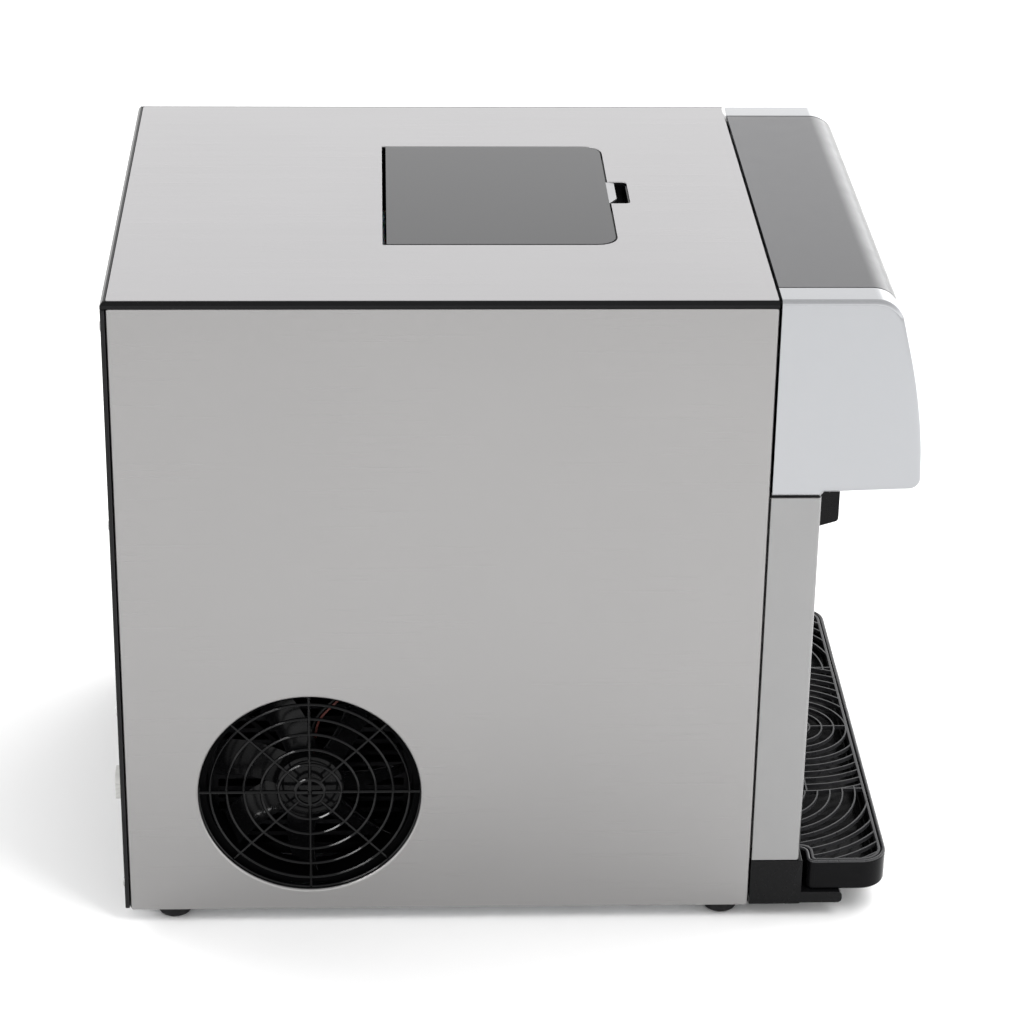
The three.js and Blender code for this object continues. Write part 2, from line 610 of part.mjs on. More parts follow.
function iceBin() {
  const { half, front, back, top, shoulder, wall } = bin;
  const { z, tubeRadius } = auger;
  const section = (inset) => {
    const radius = tubeRadius + mouldThickness - inset;
    const low = z - radius;
    return [
      [-half + inset, top + inset * 4], [-half + inset, shoulder], [-radius, z - 4 + inset],
      [-radius, low, radius * 0.9], [radius, low, radius * 0.9], [radius, z - 4 + inset],
      [half - inset, shoulder], [half - inset, top + inset * 4]];
  };
  const shell = prismY(section(0), front, back, 6);
  const hollow = prismY(section(mouldThickness), front + wall, back - wall, 6);
  const tube = rod('y', tubeRadius + mouldThickness, -6.5, front + 1, 0, z, 32);
  const outlet = rod('y', tubeRadius, -10, front + wall + 1, 0, z, 32);
  const shaftHole = rod('y', auger.shaftRadius + 0.6, back - 10, back + 5, 0, z, 12);
  return cut(join(shell, tube), hollow, outlet, shaftHole);
}

function augerMotor() {
  const { z } = auger;
  const gearbox = box(-32, 32, 294.5, 318, z - 34, z + 34);
  const can = rod('y', 26, 317, 342, 0, z, 24);
  const socket = rod('y', auger.shaftRadius + 0.6, 290, 305, 0, z, 12);
  return cut(join(gearbox, can), socket);
}

function waterTank() {
  const { half, front, back, bottom, top, wall } = tank;
  const outer = box(-half, half, front, back, bottom, top);
  const inner = box(-half + wall, half - wall, front + wall, back - wall, bottom + wall, top + 5);
  return cut(outer, inner);
}

function evaporator() {
  const { y, z, rowOffset, rodRadius } = freezer;
  const header = prismX(rectangle(y - 16, y + 16, z + 16, z + 21, 2), -66, 66);
  const rods = [];
  for (let i = 0; i < 4; i += 1) {
    for (const side of [-1, 1]) {
      rods.push(rod('z', rodRadius, z - 15, z + 17, -51 + 34 * i, y + side * rowOffset, 8));
    }
  }
  return join(header, ...rods);
}

function freezerBracket() {
  const { y, z, half } = freezer;
  const plate = box(-half - 12, half + 12, y - 20, y + 20, z + 21.3, z + 23);
  const ear = box(half + 10.5, half + 12, y - 12, y + 12, z - 8, z + 22);
  const hole = rod('x', 4.5, -half - 20, half + 20, y, z, 16);
  return cut(join(plate, ear, ear.clone().translate(-2 * half - 22.5, 0, 0)), hole);
}

// Half-pipe water tray that hangs round the freezing rods and tips about its own centre line.
function freezingTray() {
  const { y, z, innerRadius, wall, half } = freezer;
  const outer = rod('x', innerRadius + wall, -half, half, y, z, 40);
  const inner = rod('x', innerRadius, -half + 2.5, half - 2.5, y, z, 40);
  const open = box(-half - 5, half + 5, y - 40, y + 40, z + 2, z + 60);
  const trough = cut(outer, inner, open);
  const stub = rod('x', 4, half - 0.5, half + 14, y, z - 0.01, 16);
  const boss = rod('x', 4, -half - 14, -half + 0.5, y, z - 0.01, 16);
  return join(trough, stub, boss);
}

function trayMotor() {
  const { y, z, half } = freezer;
  const body = box(half + 15, half + 45, y - 18, y + 18, z - 18, z + 18);
  const socket = rod('x', 4.5, half + 10, half + 16, y, z, 12);
  return cut(body, socket);
}

// ---------- Machinery compartment ----------

function fanGrille() {
  const front = -halfWidth + 3;
  const back = front + 2;
  const { y, z, holeRadius } = fan;
  const rim = ring('x', holeRadius - 0.5, holeRadius + 6, front - 0.8, back, y, z, 40);
  const pieces = [rim];
  for (const radius of [9.4, 20, 31, 42, 53, 63.5]) {
    const sides = Math.round(10 + radius / 6);
    pieces.push(ring('x', radius - 0.9, radius + 0.9, front, back, y, z, sides));
  }
  const reach = holeRadius + 3;
  pieces.push(box(front, back, y - reach, y + reach, z - 1, z + 1));
  pieces.push(box(front, back, y - 1, y + 1, z - reach, z + reach));
  for (const quarter of [0, 1, 2, 3]) {
    const spoke = box(front, back, 9.4, reach, -0.7, 0.7);
    spoke.rotateX(Math.PI / 4 + (quarter * Math.PI) / 2);
    pieces.push(spoke.translate(0, y, z));
  }
  return join(...pieces);
}

function fanFrame() {
  const { y, z, bladeRadius } = fan;
  const near = -halfWidth + 8;
  const far = near + 25;
  const block = prismX(rectangle(y - 70, y + 70, z - 70, z + 70, 5), near, far, 3);
  const bore = rod('x', bladeRadius + 3, near - 5, far + 5, y, z, 40);
  const mount = rod('x', 23, far - 3, far, y, z, 24);
  const struts = box(far - 3, far, -1.5, 1.5, -69, 69);
  const strutPair = [45, 135].map((degrees) => {
    const strut = struts.clone().rotateX(THREE.MathUtils.degToRad(degrees));
    return strut.translate(0, y, z);
  });
  return join(cut(block, bore), mount, ...strutPair);
}

function fanRotor() {
  const { y, z, bladeRadius, hubRadius, blades } = fan;
  const near = -halfWidth + 9.5;
  const hub = rod('x', hubRadius, near, near + 19, y, z, 28);
  const pieces = [hub];
  for (let i = 0; i < blades; i += 1) {
    const blade = box(-1, 1, -13, 13, hubRadius - 2, bladeRadius);
    blade.rotateZ(THREE.MathUtils.degToRad(42)).translate(near + 9.5, 0, 0);
    blade.rotateX((2 * Math.PI * i) / blades);
    pieces.push(blade.translate(0, y, z));
  }
  return join(...pieces);
}

function fanLead() {
  const x = -halfWidth + 35;
  const route = [
    [x, 281, 112], [x, 277, 130], [x, 262, 148], [x + 2, 250, 168], [x + 10, 247, 180], [x + 26, 262, 184]];
  return pipe(route, 1.5, 18, 6);
}

function condenser() {
  const core = box(fins.near, fins.far, fan.y - fins.halfY, fan.y + fins.halfY, fins.bottom, fins.top);
  const slotHalf = fins.halfY - 8;
  const slots = [];
  for (let i = 0; i < fins.count; i += 1) {
    const z = fins.firstZ + i * fins.pitch;
    for (const [near, far] of [[fins.near - 5, fins.near + 9], [fins.far - 9, fins.far + 5]]) {
      slots.push(box(near, far, fan.y - slotHalf, fan.y + slotHalf, z, z + fins.opening));
    }
  }
  return cut(core, ...slots);
}

function compressorCan() {
  const { x, y, radius, bottom, top } = compressor;
  const can = [[0, bottom], [radius - 10, bottom], [radius - 2, bottom + 6], [radius, bottom + 18],
    [radius, top - 42], [radius - 4, top - 22], [radius - 16, top - 7], [radius - 34, top], [0, top]];
  const plate = box(x - 72, x + 72, y - 44, y + 44, 18.3, 21);
  const neck = rod('z', radius - 12, 20, bottom + 2, x, y, 24);
  return join(turned(can, x, y, 20), plate, neck);
}

function grommet(side) {
  const x = compressor.x + side * 64;
  return turned([[0, 12.1], [9, 12.1], [9, 15], [6, 15], [6, 17.9], [0, 17.9]], x, compressor.y, 16);
}

function suctionLine() {
  const { x, y, top } = compressor;
  const { x: dropX, y: dropY } = suctionDrop;
  const route = [
    [66.3, 262, 410], [76, 263, 410], [80, 272, 410], [83, 296, 408], [120, 316, 396], [160, dropY, 384],
    [dropX, dropY, 366], [dropX, dropY, 300], [dropX, dropY, deckZ], [dropX - 1, 314, 190], [148, 292, 182],
    [x + 34, 272, 183], [x + 14, y, 178], [x + 10, y, top + 3], [x + 10, y, top + 0.5]];
  return pipe(route, 2.6, 40, 6);
}

function dischargeLine() {
  const { x, y, top } = compressor;
  const middle = (fins.near + fins.far) / 2;
  const route = [
    [x - 18, y, top + 0.5], [x - 18, y, top + 4], [x - 24, y, 178], [x - 60, y + 6, 184], [-60, 276, 184],
    [-108, 283, 180], [middle, fan.y, fins.top + 6], [middle, fan.y, fins.top + 0.4]];
  return pipe(route, 2.4, 30, 6);
}

function filterDrier() {
  const profile = [[0, 60], [3, 60], [3, 72], [9, 80], [9, 128], [3, 136], [3, 148], [0, 148]];
  return turned(profile, -70, 330, 16);
}

function waterPump() {
  const { x, z, radius, voluteRadius, front, seam, back } = pump;
  const body = rod('y', radius, seam, back, x, z, 24);
  const volute = rod('y', voluteRadius, front, seam + 2, x, z, 24);
  const outlet = rod('z', 6, z + 18, z + 44, x + 18, front + 5, 12);
  const bracket = box(x - 22, x + 22, seam + 10, back - 8, 12.1, z - 20);
  return join(body, volute, outlet, bracket);
}

function inletValve() {
  const { x, z } = waterIn;
  const body = rod('y', 9, 344, 384, x, z, 16);
  const coil = box(x - 14, x + 14, 348, 374, z + 4, z + 32);
  return join(body, coil);
}

function waterInlet() {
  const { x, z } = waterIn;
  const flange = rod('y', 13, bodyDepth + 3.3, bodyDepth + 5.5, x, z, 6);
  const barrel = rod('y', 8.6, 384.3, bodyDepth + 4, x, z, 20);
  const thread = rod('y', 8.2, bodyDepth + 5, bodyDepth + 9, x, z, 20);
  return cut(join(flange, barrel, thread), rod('y', 3.4, 380, bodyDepth + 20, x, z, 12));
}

function drainOutlet() {
  const { x, z } = drain;
  return ring('y', 4, 6.9, 372, bodyDepth + 3, x, z, 20);
}

function drainCap() {
  const { x, z } = drain;
  const cap = prismY(rectangle(x - 9.5, x + 9.5, z - 9.5, z + 9.5, 6), bodyDepth + 3.3, bodyDepth + 9, 5);
  const plug = rod('y', 3.6, bodyDepth - 6, bodyDepth + 4, x, z, 16);
  return join(cap, plug);
}

function powerInlet() {
  const { x, z, halfX, halfZ } = powerIn;
  const flange = box(x - 24, x + 24, bodyDepth + 3.3, bodyDepth + 5.6, z - 14, z + 14);
  const body = box(x - halfX, x + halfX, bodyDepth - 22, bodyDepth + 4, z - halfZ, z + halfZ);
  const socket = box(x - 12, x + 12, bodyDepth - 12, bodyDepth + 10, z - 8, z + 8);
  const pins = [[-7, 0], [0, 0], [7, 0]].map(([dx, dz]) => (
    box(x + dx - 1, x + dx + 1, bodyDepth - 13, bodyDepth + 1, z + dz - 2, z + dz + 2)));
  return join(cut(join(flange, body), socket), ...pins);
}

function powerBoard() {
  const { face, back, front, rear, bottom, top } = mainsBoard;
  const board = box(face, back, front, rear, bottom, top);
  const transformer = box(face - 28, face + 0.5, 46, 86, 110, 150);
  const capacitor = rod('x', 9, face - 22, face + 0.5, 122, 80, 16);
  const relay = box(face - 14, face + 0.5, 100, 120, 120, 146);
  const stand = box(face - 4, face + 5, 34, 60, 12.1, bottom + 4);
  return join(board, transformer, capacitor, relay, stand);
}

// ---------- Materials ----------

function finish(color, roughness, metalness = 0) {
  return new THREE.MeshStandardMaterial({ color, roughness, metalness });
}

const stainless = finish(0xb8b7b6, 0.35, 1);
const silverPaint = finish(0xcdcfd2, 0.35, 0.4);
const blackPlastic = finish(0x1b1c1e, 0.5);
const glossBlack = finish(0x0d0e10, 0.12);
const smokedLid = finish(0x4a4b4f, 0.15);
const glassBlack = finish(0x08090c, 0.05);
const rubber = finish(0x141414, 0.85);
const galvanised = finish(0x9a9da0, 0.45, 0.9);
const whitePlastic = finish(0xe6e6e1, 0.45);
const clearGrey = finish(0xc9d2d8, 0.2);
const copper = finish(0xb87333, 0.3, 1);
const nickel = finish(0xc8c8c4, 0.2, 1);
const blackEnamel = finish(0x202124, 0.35);
const circuitGreen = finish(0x1f5c3a, 0.5);
const leadRed = finish(0x8a2b26, 0.6);
const finMetal = finish(0xa8abad, 0.4, 0.9);

// ---------- Assembly ----------

const iceMaker = new THREE.Group();
const assembly = new THREE.Group();
iceMaker.add(assembly);

function add(name, geometry, material) {
  const mesh = new THREE.Mesh(geometry, material);
  mesh.name = name;
  assembly.add(mesh);
}

add('left_side_panel', leftSidePanel(), stainless);
add('right_side_panel', rightSidePanel(), stainless);
add('top_panel', topPanel(), stainless);
add('top_frame', topFrame(), blackPlastic);
add('hatch_lid', hatchLid(), smokedLid);
add('hatch_hinge_pin', hatchHingePin(), nickel);
add('rear_panel', rearPanel(), blackPlastic);
add('base_pan', basePan(), galvanised);
add('mid_deck', midDeck(), galvanised);
add('front_bulkhead', frontBulkhead(), galvanised);
for (const [end, y] of [['front', 17], ['rear', 372]]) {
  for (const [side, x] of [['left', -165], ['right', 165]]) {
    add(`foot_${end}_${side}`, foot(x, y), rubber);
  }
}

add('front_base', frontBase(), blackPlastic);
add('left_column', frontColumn(-1), silverPaint);
add('right_column', frontColumn(1), silverPaint);
add('splash_panel', splashPanel(), blackPlastic);
add('drip_tray', dripTray(), blackPlastic);
add('drip_grid', dripGrid(), blackPlastic);

add('head_housing', headHousing(), silverPaint);
add('control_panel', controlPanel(), glossBlack);
add('lcd_window', lcdWindow(), glassBlack);
['power', 'ice', 'water', 'clean'].forEach((job, i) => {
  add(`button_${job}`, button(buttonSpots[i]), blackPlastic);
});
add('control_board', controlBoard(), circuitGreen);

add('ice_chute', iceChute(), blackPlastic);
add('lever_pin', leverPin(), nickel);
add('dispense_lever', dispenseLever(), blackPlastic);
add('lever_switch', leverSwitch(), blackPlastic);
add('water_nozzle', waterNozzle(), blackPlastic);

add('ice_bin', iceBin(), clearGrey);
add('auger', augerScrew(), clearGrey);
add('auger_motor', augerMotor(), galvanised);
add('water_tank', waterTank(), clearGrey);
add('evaporator', evaporator(), nickel);
add('freezer_bracket', freezerBracket(), galvanised);
add('freezing_tray', freezingTray(), clearGrey);
add('tray_motor', trayMotor(), blackPlastic);

add('side_fan_grille', fanGrille(), glossBlack);
add('fan_frame', fanFrame(), blackPlastic);
add('fan_rotor', fanRotor(), blackPlastic);
add('fan_lead', fanLead(), leadRed);
add('condenser', condenser(), finMetal);
add('compressor', compressorCan(), blackEnamel);
add('compressor_grommet_left', grommet(-1), rubber);
add('compressor_grommet_right', grommet(1), rubber);
add('suction_line', suctionLine(), copper);
add('discharge_line', dischargeLine(), copper);
add('filter_drier', filterDrier(), copper);
add('water_pump', waterPump(), blackPlastic);
add('inlet_valve', inletValve(), whitePlastic);
add('water_inlet', waterInlet(), whitePlastic);
add('drain_outlet', drainOutlet(), blackPlastic);
add('drain_cap', drainCap(), whitePlastic);
add('power_inlet', powerInlet(), blackPlastic);
add('power_board', powerBoard(), circuitGreen);

// Centre the whole object front to back on the origin.
const extent = new THREE.Box3().setFromObject(assembly);
assembly.position.y = -(extent.min.y + extent.max.y) / 2;

export default iceMaker;
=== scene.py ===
import math

import bmesh
import bpy
from mathutils import Euler, Matrix, Quaternion, Vector


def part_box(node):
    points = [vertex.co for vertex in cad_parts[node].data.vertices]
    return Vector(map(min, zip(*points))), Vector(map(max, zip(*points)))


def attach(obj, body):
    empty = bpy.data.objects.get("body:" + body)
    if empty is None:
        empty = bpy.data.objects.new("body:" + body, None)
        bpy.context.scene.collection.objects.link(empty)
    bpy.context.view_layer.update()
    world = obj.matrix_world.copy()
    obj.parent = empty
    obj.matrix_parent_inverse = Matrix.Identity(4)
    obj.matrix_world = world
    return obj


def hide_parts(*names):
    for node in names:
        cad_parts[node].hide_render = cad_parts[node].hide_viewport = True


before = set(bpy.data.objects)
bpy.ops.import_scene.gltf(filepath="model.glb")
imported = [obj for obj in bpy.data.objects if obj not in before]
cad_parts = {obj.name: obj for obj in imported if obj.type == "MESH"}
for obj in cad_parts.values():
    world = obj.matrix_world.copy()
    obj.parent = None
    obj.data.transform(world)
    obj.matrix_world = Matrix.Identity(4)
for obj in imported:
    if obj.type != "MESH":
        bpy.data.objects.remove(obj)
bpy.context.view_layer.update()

# Shapes are in millimetres: X across, Y back from the front edge of the side panels, Z up from the floor.
# The camera, the lights and the floor are in metres, in the CAD's own frame.
MM = 0.001
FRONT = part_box("left_side_panel")[0].y / MM
SCENE = bpy.context.scene


# ---------- Camera, light and floor ----------

# The camera's turn is in degrees about X, Y and Z, and its lens and sensor are in millimetres.
CAMERA_PLACE = (-1.9546, 0.08128, 1.1514)
CAMERA_TURN = (64.23, -0.846, -92.235)
LENS, SENSOR = 113.7, 36

# Name, place, target, size, power, roll in degrees, and whether it shows in gloss only (or on matt only).
# The glint is a narrow strip that draws fine arcs in the bevelled rings of the fan guard.
LIGHTS = [
    ("key", (-1.2, -1.0, 2.3), (-0.3, -0.2, 0), (0.6, 1.6), 24, 0, False),
    ("overhead", (0.8, -1.1, 2.3), (-0.2, -0.3, 0), (2.2, 2.2), 46, 0, False),
    ("fill", (1.1, 1.9, 1.1), (0, 1.0, 0), (1.2, 0.8), 16, 0, False),
    ("rim", (2.6, -1.8, 0.7), (0, -0.2, 0.3), (2.4, 1.4), 7, 0, True),
    ("glint", (-1.33, 1.7, 1.72), (-0.18, 0.03, 0.095), (0.06, 1.25), 9.5, -34, True),
]

# How bright the studio is by height of view direction, from the horizon (0) to straight up (1).
STUDIO_LEVELS = [(0, 1), (0.2, 0.85), (0.45, 0.6), (0.7, 0.45), (1, 0.4)]
STUDIO_STRENGTH = 2.0
FLOOR_REACH = 12


def make_camera():
    data = bpy.data.cameras.new("camera")
    data.lens = LENS
    data.sensor_width = SENSOR
    data.clip_end = 50
    camera = bpy.data.objects.new("camera", data)
    camera.location = CAMERA_PLACE
    camera.rotation_euler = Euler([math.radians(a) for a in CAMERA_TURN])
    SCENE.collection.objects.link(camera)
    SCENE.camera = camera


def area_light(name, place, target, size, power, roll, gloss_only):
    data = bpy.data.lights.new(name, "AREA")
    data.shape = "RECTANGLE"
    data.size, data.size_y = size
    data.energy = power
    light = bpy.data.objects.new(name, data)
    light.location = place
    light.visible_camera = False
    light.visible_diffuse = not gloss_only
    light.visible_glossy = gloss_only
    aim = (Vector(target) - Vector(place)).to_track_quat("-Z", "Y")
    lean = Quaternion((0, 0, 1), math.radians(roll))
    light.rotation_euler = (aim @ lean).to_euler()
    SCENE.collection.objects.link(light)


def make_world():
    world = bpy.data.worlds.new("studio")
    world.use_nodes = True
    tree = world.node_tree
    place = tree.nodes.new("ShaderNodeTexCoord")
    split = tree.nodes.new("ShaderNodeSeparateXYZ")
    ramp = tree.nodes.new("ShaderNodeValToRGB")
    background = tree.nodes["Background"]
    tree.links.new(place.outputs["Generated"], split.inputs[0])
    tree.links.new(split.outputs["Z"], ramp.inputs["Fac"])
    tree.links.new(ramp.outputs["Color"], background.inputs["Color"])
    stops = ramp.color_ramp.elements
    for height, level in STUDIO_LEVELS[2:]:
        stops.new(height)
    for stop, (height, level) in zip(stops, STUDIO_LEVELS):
        stop.position = height
        stop.color = (level, level, level, 1)
    background.inputs["Strength"].default_value = STUDIO_STRENGTH
    SCENE.world = world
    SCENE.view_settings.view_transform = "Standard"
    SCENE.view_settings.look = "None"


def make_floor():
    reach = FLOOR_REACH
    mesh = bpy.data.meshes.new("floor")
    mesh.from_pydata([(-reach, -reach, 0), (reach, -reach, 0), (reach, reach, 0), (-reach, reach, 0)],
                     [], [(0, 1, 2, 3)])
    Look("floor_paint", grey(0.95), 0.8, Specular_IOR_Level=0.1)
    mesh.materials.append(MATERIALS["floor_paint"])
    floor = bpy.data.objects.new("floor", mesh)
    SCENE.collection.objects.link(floor)


# ---------- Materials ----------

def grey(level, blue=0.0):
    return (level, level, level + blue)


def scaled(colour, factor, plus=0.0):
    return tuple(min(c * factor + plus, 1) for c in colour)


MATERIALS = {}


class Look:
    """One Principled material, kept in MATERIALS. Coordinates are the object's own, in metres."""

    def __init__(self, name, colour, roughness, metallic=0.0, **sockets):
        MATERIALS[name] = bpy.data.materials.new(name)
        MATERIALS[name].use_nodes = True
        self.tree = MATERIALS[name].node_tree
        self.shader = self.tree.nodes["Principled BSDF"]
        self.colour, self.roughness = colour, roughness
        self.shader.inputs["Base Color"].default_value = (*colour, 1)
        self.shader.inputs["Roughness"].default_value = roughness
        self.shader.inputs["Metallic"].default_value = metallic
        for socket, value in sockets.items():
            self.shader.inputs[socket.replace("_", " ")].default_value = value
        self.bumps = None

    def node(self, kind, **inputs):
        made = self.tree.nodes.new("ShaderNode" + kind)
        for key, value in inputs.items():
            socket = made.inputs[key.replace("_", " ")]
            if isinstance(value, bpy.types.NodeSocket):
                self.tree.links.new(value, socket)
            else:
                socket.default_value = value
        return made

    def place(self, scale=(1, 1, 1)):
        coordinates = self.tree.nodes.new("ShaderNodeTexCoord")
        mapping = self.node("Mapping", Vector=coordinates.outputs["Object"])
        mapping.inputs["Scale"].default_value = scale
        return mapping.outputs["Vector"]

    def noise(self, scale, stretch=(1, 1, 1), detail=2.0, rough=0.5):
        place = self.place(stretch)
        return self.node("TexNoise", Vector=place, Scale=scale, Detail=detail, Roughness=rough).outputs["Fac"]

    def ranged(self, value, low, high, start=0.3, end=0.7):
        made = self.node("MapRange", Value=value, From_Min=start, From_Max=end, To_Min=low, To_Max=high)
        return made.outputs["Result"]

    def vary_roughness(self, value, spread):
        result = self.ranged(value, max(self.roughness - spread, 0.02), min(self.roughness + spread, 1))
        self.tree.links.new(result, self.shader.inputs["Roughness"])

    def vary_colour(self, value, other, start=0.3, end=0.7):
        """Turns the colour into another one where a value goes from start to end."""
        mix = self.tree.nodes.new("ShaderNodeMix")
        mix.data_type = "RGBA"
        near, far = [s for s in mix.inputs if s.type == "RGBA"]
        near.default_value = (*self.colour, 1)
        far.default_value = (*other, 1)
        base = self.shader.inputs["Base Color"]
        if base.is_linked:
            self.tree.links.new(base.links[0].from_socket, near)
        self.tree.links.new(self.ranged(value, 0, 1, start, end), mix.inputs["Factor"])
        result = [s for s in mix.outputs if s.type == "RGBA"][0]
        self.tree.links.new(result, base)

    def bump(self, value, depth, strength):
        """Depth is in millimetres."""
        made = self.node("Bump", Height=value, Strength=strength, Distance=depth * MM)
        if self.bumps:
            self.tree.links.new(self.bumps, made.inputs["Normal"])
        self.bumps = made.outputs["Normal"]
        self.tree.links.new(self.bumps, self.shader.inputs["Normal"])

    def worn_edges(self, other):
        """Shows another colour at outer edges, broken up by fine noise."""
        geometry = self.tree.nodes.new("ShaderNodeNewGeometry")
        grime = self.noise(300, detail=4)
        mixed = self.tree.nodes.new("ShaderNodeMath")
        mixed.operation = "MULTIPLY_ADD"
        self.tree.links.new(grime, mixed.inputs[0])
        mixed.inputs[1].default_value = 0.06
        self.tree.links.new(geometry.outputs["Pointiness"], mixed.inputs[2])
        self.vary_colour(mixed.outputs[0], other, start=0.575, end=0.64)


def brushed_steel(name, colour, roughness=0.3):
    """Stainless sheet brushed from front to back."""
    look = Look(name, colour, roughness, metallic=1.0)
    along, across = 6, 1400
    lines = look.noise(1, (across, along, across), detail=3, rough=0.6)
    clouds = look.noise(9, detail=2)
    look.vary_colour(lines, scaled(colour, 1.012))
    look.vary_colour(clouds, scaled(colour, 0.99), 0.4, 0.75)
    look.vary_roughness(lines, 0.03)
    look.bump(lines, 0.003, 0.2)


def silver_paint(name, colour, roughness=0.3, metallic=0.8):
    look = Look(name, colour, roughness, metallic, Coat_Weight=0.25, Coat_Roughness=0.06)
    look.vary_colour(look.noise(2600, detail=1), scaled(colour, 1.05), 0.45, 0.7)
    look.vary_roughness(look.noise(40), 0.03)
    look.bump(look.noise(700), 0.008, 0.25)


def grained_plastic(name, colour, roughness=0.45, grain=1500, depth=0.02, edge=1.8, shine=0.5, wear=0.003):
    look = Look(name, colour, roughness, Specular_IOR_Level=shine)
    look.vary_colour(look.noise(60, detail=3), scaled(colour, 1.25))
    look.worn_edges(scaled(colour, edge, wear))
    look.vary_roughness(look.noise(120, detail=3), 0.06)
    cells = look.node("TexVoronoi", Vector=look.place(), Scale=grain)
    look.bump(cells.outputs["Distance"], depth, 0.4)
    look.bump(look.noise(25), 0.05, 0.1)


def polished_plastic(name, colour, roughness=0.1, edge=1.6, shine=0.5, ripple=0.003):
    look = Look(name, colour, roughness, Specular_IOR_Level=shine)
    look.vary_roughness(look.noise(70, detail=4), 0.03)
    look.vary_colour(look.noise(500, detail=4), scaled(colour, 1.15, 0.001), 0.5, 0.75)
    look.worn_edges(scaled(colour, edge))
    look.bump(look.noise(110), ripple, 0.25)


def metal(name, colour, roughness, grain=90, tint=0.85):
    look = Look(name, colour, roughness, metallic=1.0)
    look.vary_colour(look.noise(grain, detail=4), scaled(colour, tint), 0.35, 0.75)
    look.vary_roughness(look.noise(grain * 2, detail=3), 0.07)
    look.bump(look.noise(grain * 9, detail=2), 0.01, 0.3)


def spangled_zinc(name, colour):
    look = Look(name, colour, 0.38, metallic=0.95)
    cells = look.node("TexVoronoi", Vector=look.place(), Scale=110).outputs["Color"]
    look.vary_colour(cells, scaled(colour, 0.8), 0.2, 0.8)
    look.vary_roughness(cells, 0.08)
    look.bump(look.noise(900), 0.01, 0.3)


def clear_plastic(name, colour):
    look = Look(name, colour, 0.18, Subsurface_Weight=0.2, Subsurface_Scale=0.004)
    look.vary_roughness(look.noise(80, detail=3), 0.05)
    look.vary_colour(look.noise(30), scaled(colour, 0.95))
    look.bump(look.noise(160), 0.01, 0.3)


def circuit_board(name):
    look = Look(name, (0.02, 0.13, 0.06), 0.35)
    tracks = look.node("TexBrick", Vector=look.place(), Scale=160).outputs["Fac"]
    look.vary_colour(tracks, (0.05, 0.25, 0.12), 0.2, 0.8)
    look.vary_roughness(look.noise(300), 0.08)
    look.bump(tracks, 0.03, 0.5)


def rubber(name):
    look = Look(name, grey(0.006, 0.0005), 0.7, Specular_IOR_Level=0.2)
    look.vary_colour(look.noise(200, detail=4), grey(0.013), 0.45, 0.75)
    look.vary_roughness(look.noise(150), 0.08)
    look.bump(look.noise(1800, detail=3), 0.03, 0.5)


def make_materials():
    brushed_steel("side_steel", (0.296, 0.291, 0.289))
    # Painted light: the top sheet is the same stainless as the sides, made lighter to stand for the brighter
    # light that falls on top.
    brushed_steel("top_steel_painted_light", (0.408, 0.402, 0.408))
    silver_paint("column_paint", (0.267, 0.266, 0.266), 0.36, 0.9)
    # Painted reflection: the finger tab is coloured light silver to stand for the bright surroundings that
    # its sloped top reflects.
    silver_paint("tab_painted_reflection", grey(0.36, 0.01), 0.35)
    silver_paint("head_paint", (0.358, 0.364, 0.376), 0.12)
    grained_plastic("black_plastic", grey(0.009, 0.0005), shine=0.15)
    grained_plastic("tray_plastic", grey(0.0035, 0.0003), 0.18, grain=1800, depth=0.002, shine=0.06)
    grained_plastic("grid_plastic", grey(0.020, 0.0015), 0.3, grain=1800, depth=0.006, wear=0.01)
    # The fan casing is black plastic, made darker still than the other black plastics as painted shade inside
    # the fan opening.
    grained_plastic("black_with_painted_shade", grey(0.001, 0.0002), 0.55, shine=0.03, wear=0.001)
    grained_plastic("white_plastic", grey(0.62, -0.02), 0.42, edge=1.1)
    grained_plastic("icon", (0.55, 0.56, 0.57), 0.4, edge=1.1)
    # The red lead's colour is darkened as painted shade, where it runs in shade behind the fan.
    grained_plastic("lead_red_painted_shade", (0.11, 0.032, 0.026), 0.4, shine=0.3)
    grained_plastic("lead_black", grey(0.006), 0.4, shine=0.3)
    polished_plastic("guard_black", grey(0.0012, 0.0002), shine=0.2, ripple=0.0015)
    polished_plastic("gloss_black", grey(0.003, 0.0003), 0.14, shine=0.13)
    polished_plastic("panel_black", grey(0.030, 0.0025), 0.22, ripple=0.0006)
    polished_plastic("smoked", grey(0.0113, 0.0017), 0.12, edge=1.0, shine=0.4)
    polished_plastic("display", (0.006, 0.007, 0.009), 0.05)
    polished_plastic("enamel", grey(0.025, 0.002), 0.3)
    metal("copper", (0.75, 0.38, 0.24), 0.28, grain=60, tint=0.6)
    metal("nickel", (0.72, 0.71, 0.69), 0.16, grain=120)
    # Painted shade: the condenser fins are coloured near black to stand for the shade inside, behind the fan.
    metal("fins", grey(0.014, 0.001), 0.55, grain=200)
    metal("screw", grey(0.5), 0.3, grain=300)
    spangled_zinc("zinc", (0.55, 0.56, 0.57))
    clear_plastic("clear_grey", (0.66, 0.71, 0.75))
    circuit_board("board")
    rubber("rubber")


# ---------- Solids ----------

def at(x, y, z):
    return (x * MM, (y + FRONT) * MM, z * MM)


def spot(axis, u, v, w):
    """A point from in-plane (u, v) and height w: (y, z) for X, (x, z) for Y and (x, y) for Z."""
    return {"x": (w, u, v), "y": (u, w, v), "z": (u, v, w)}[axis]


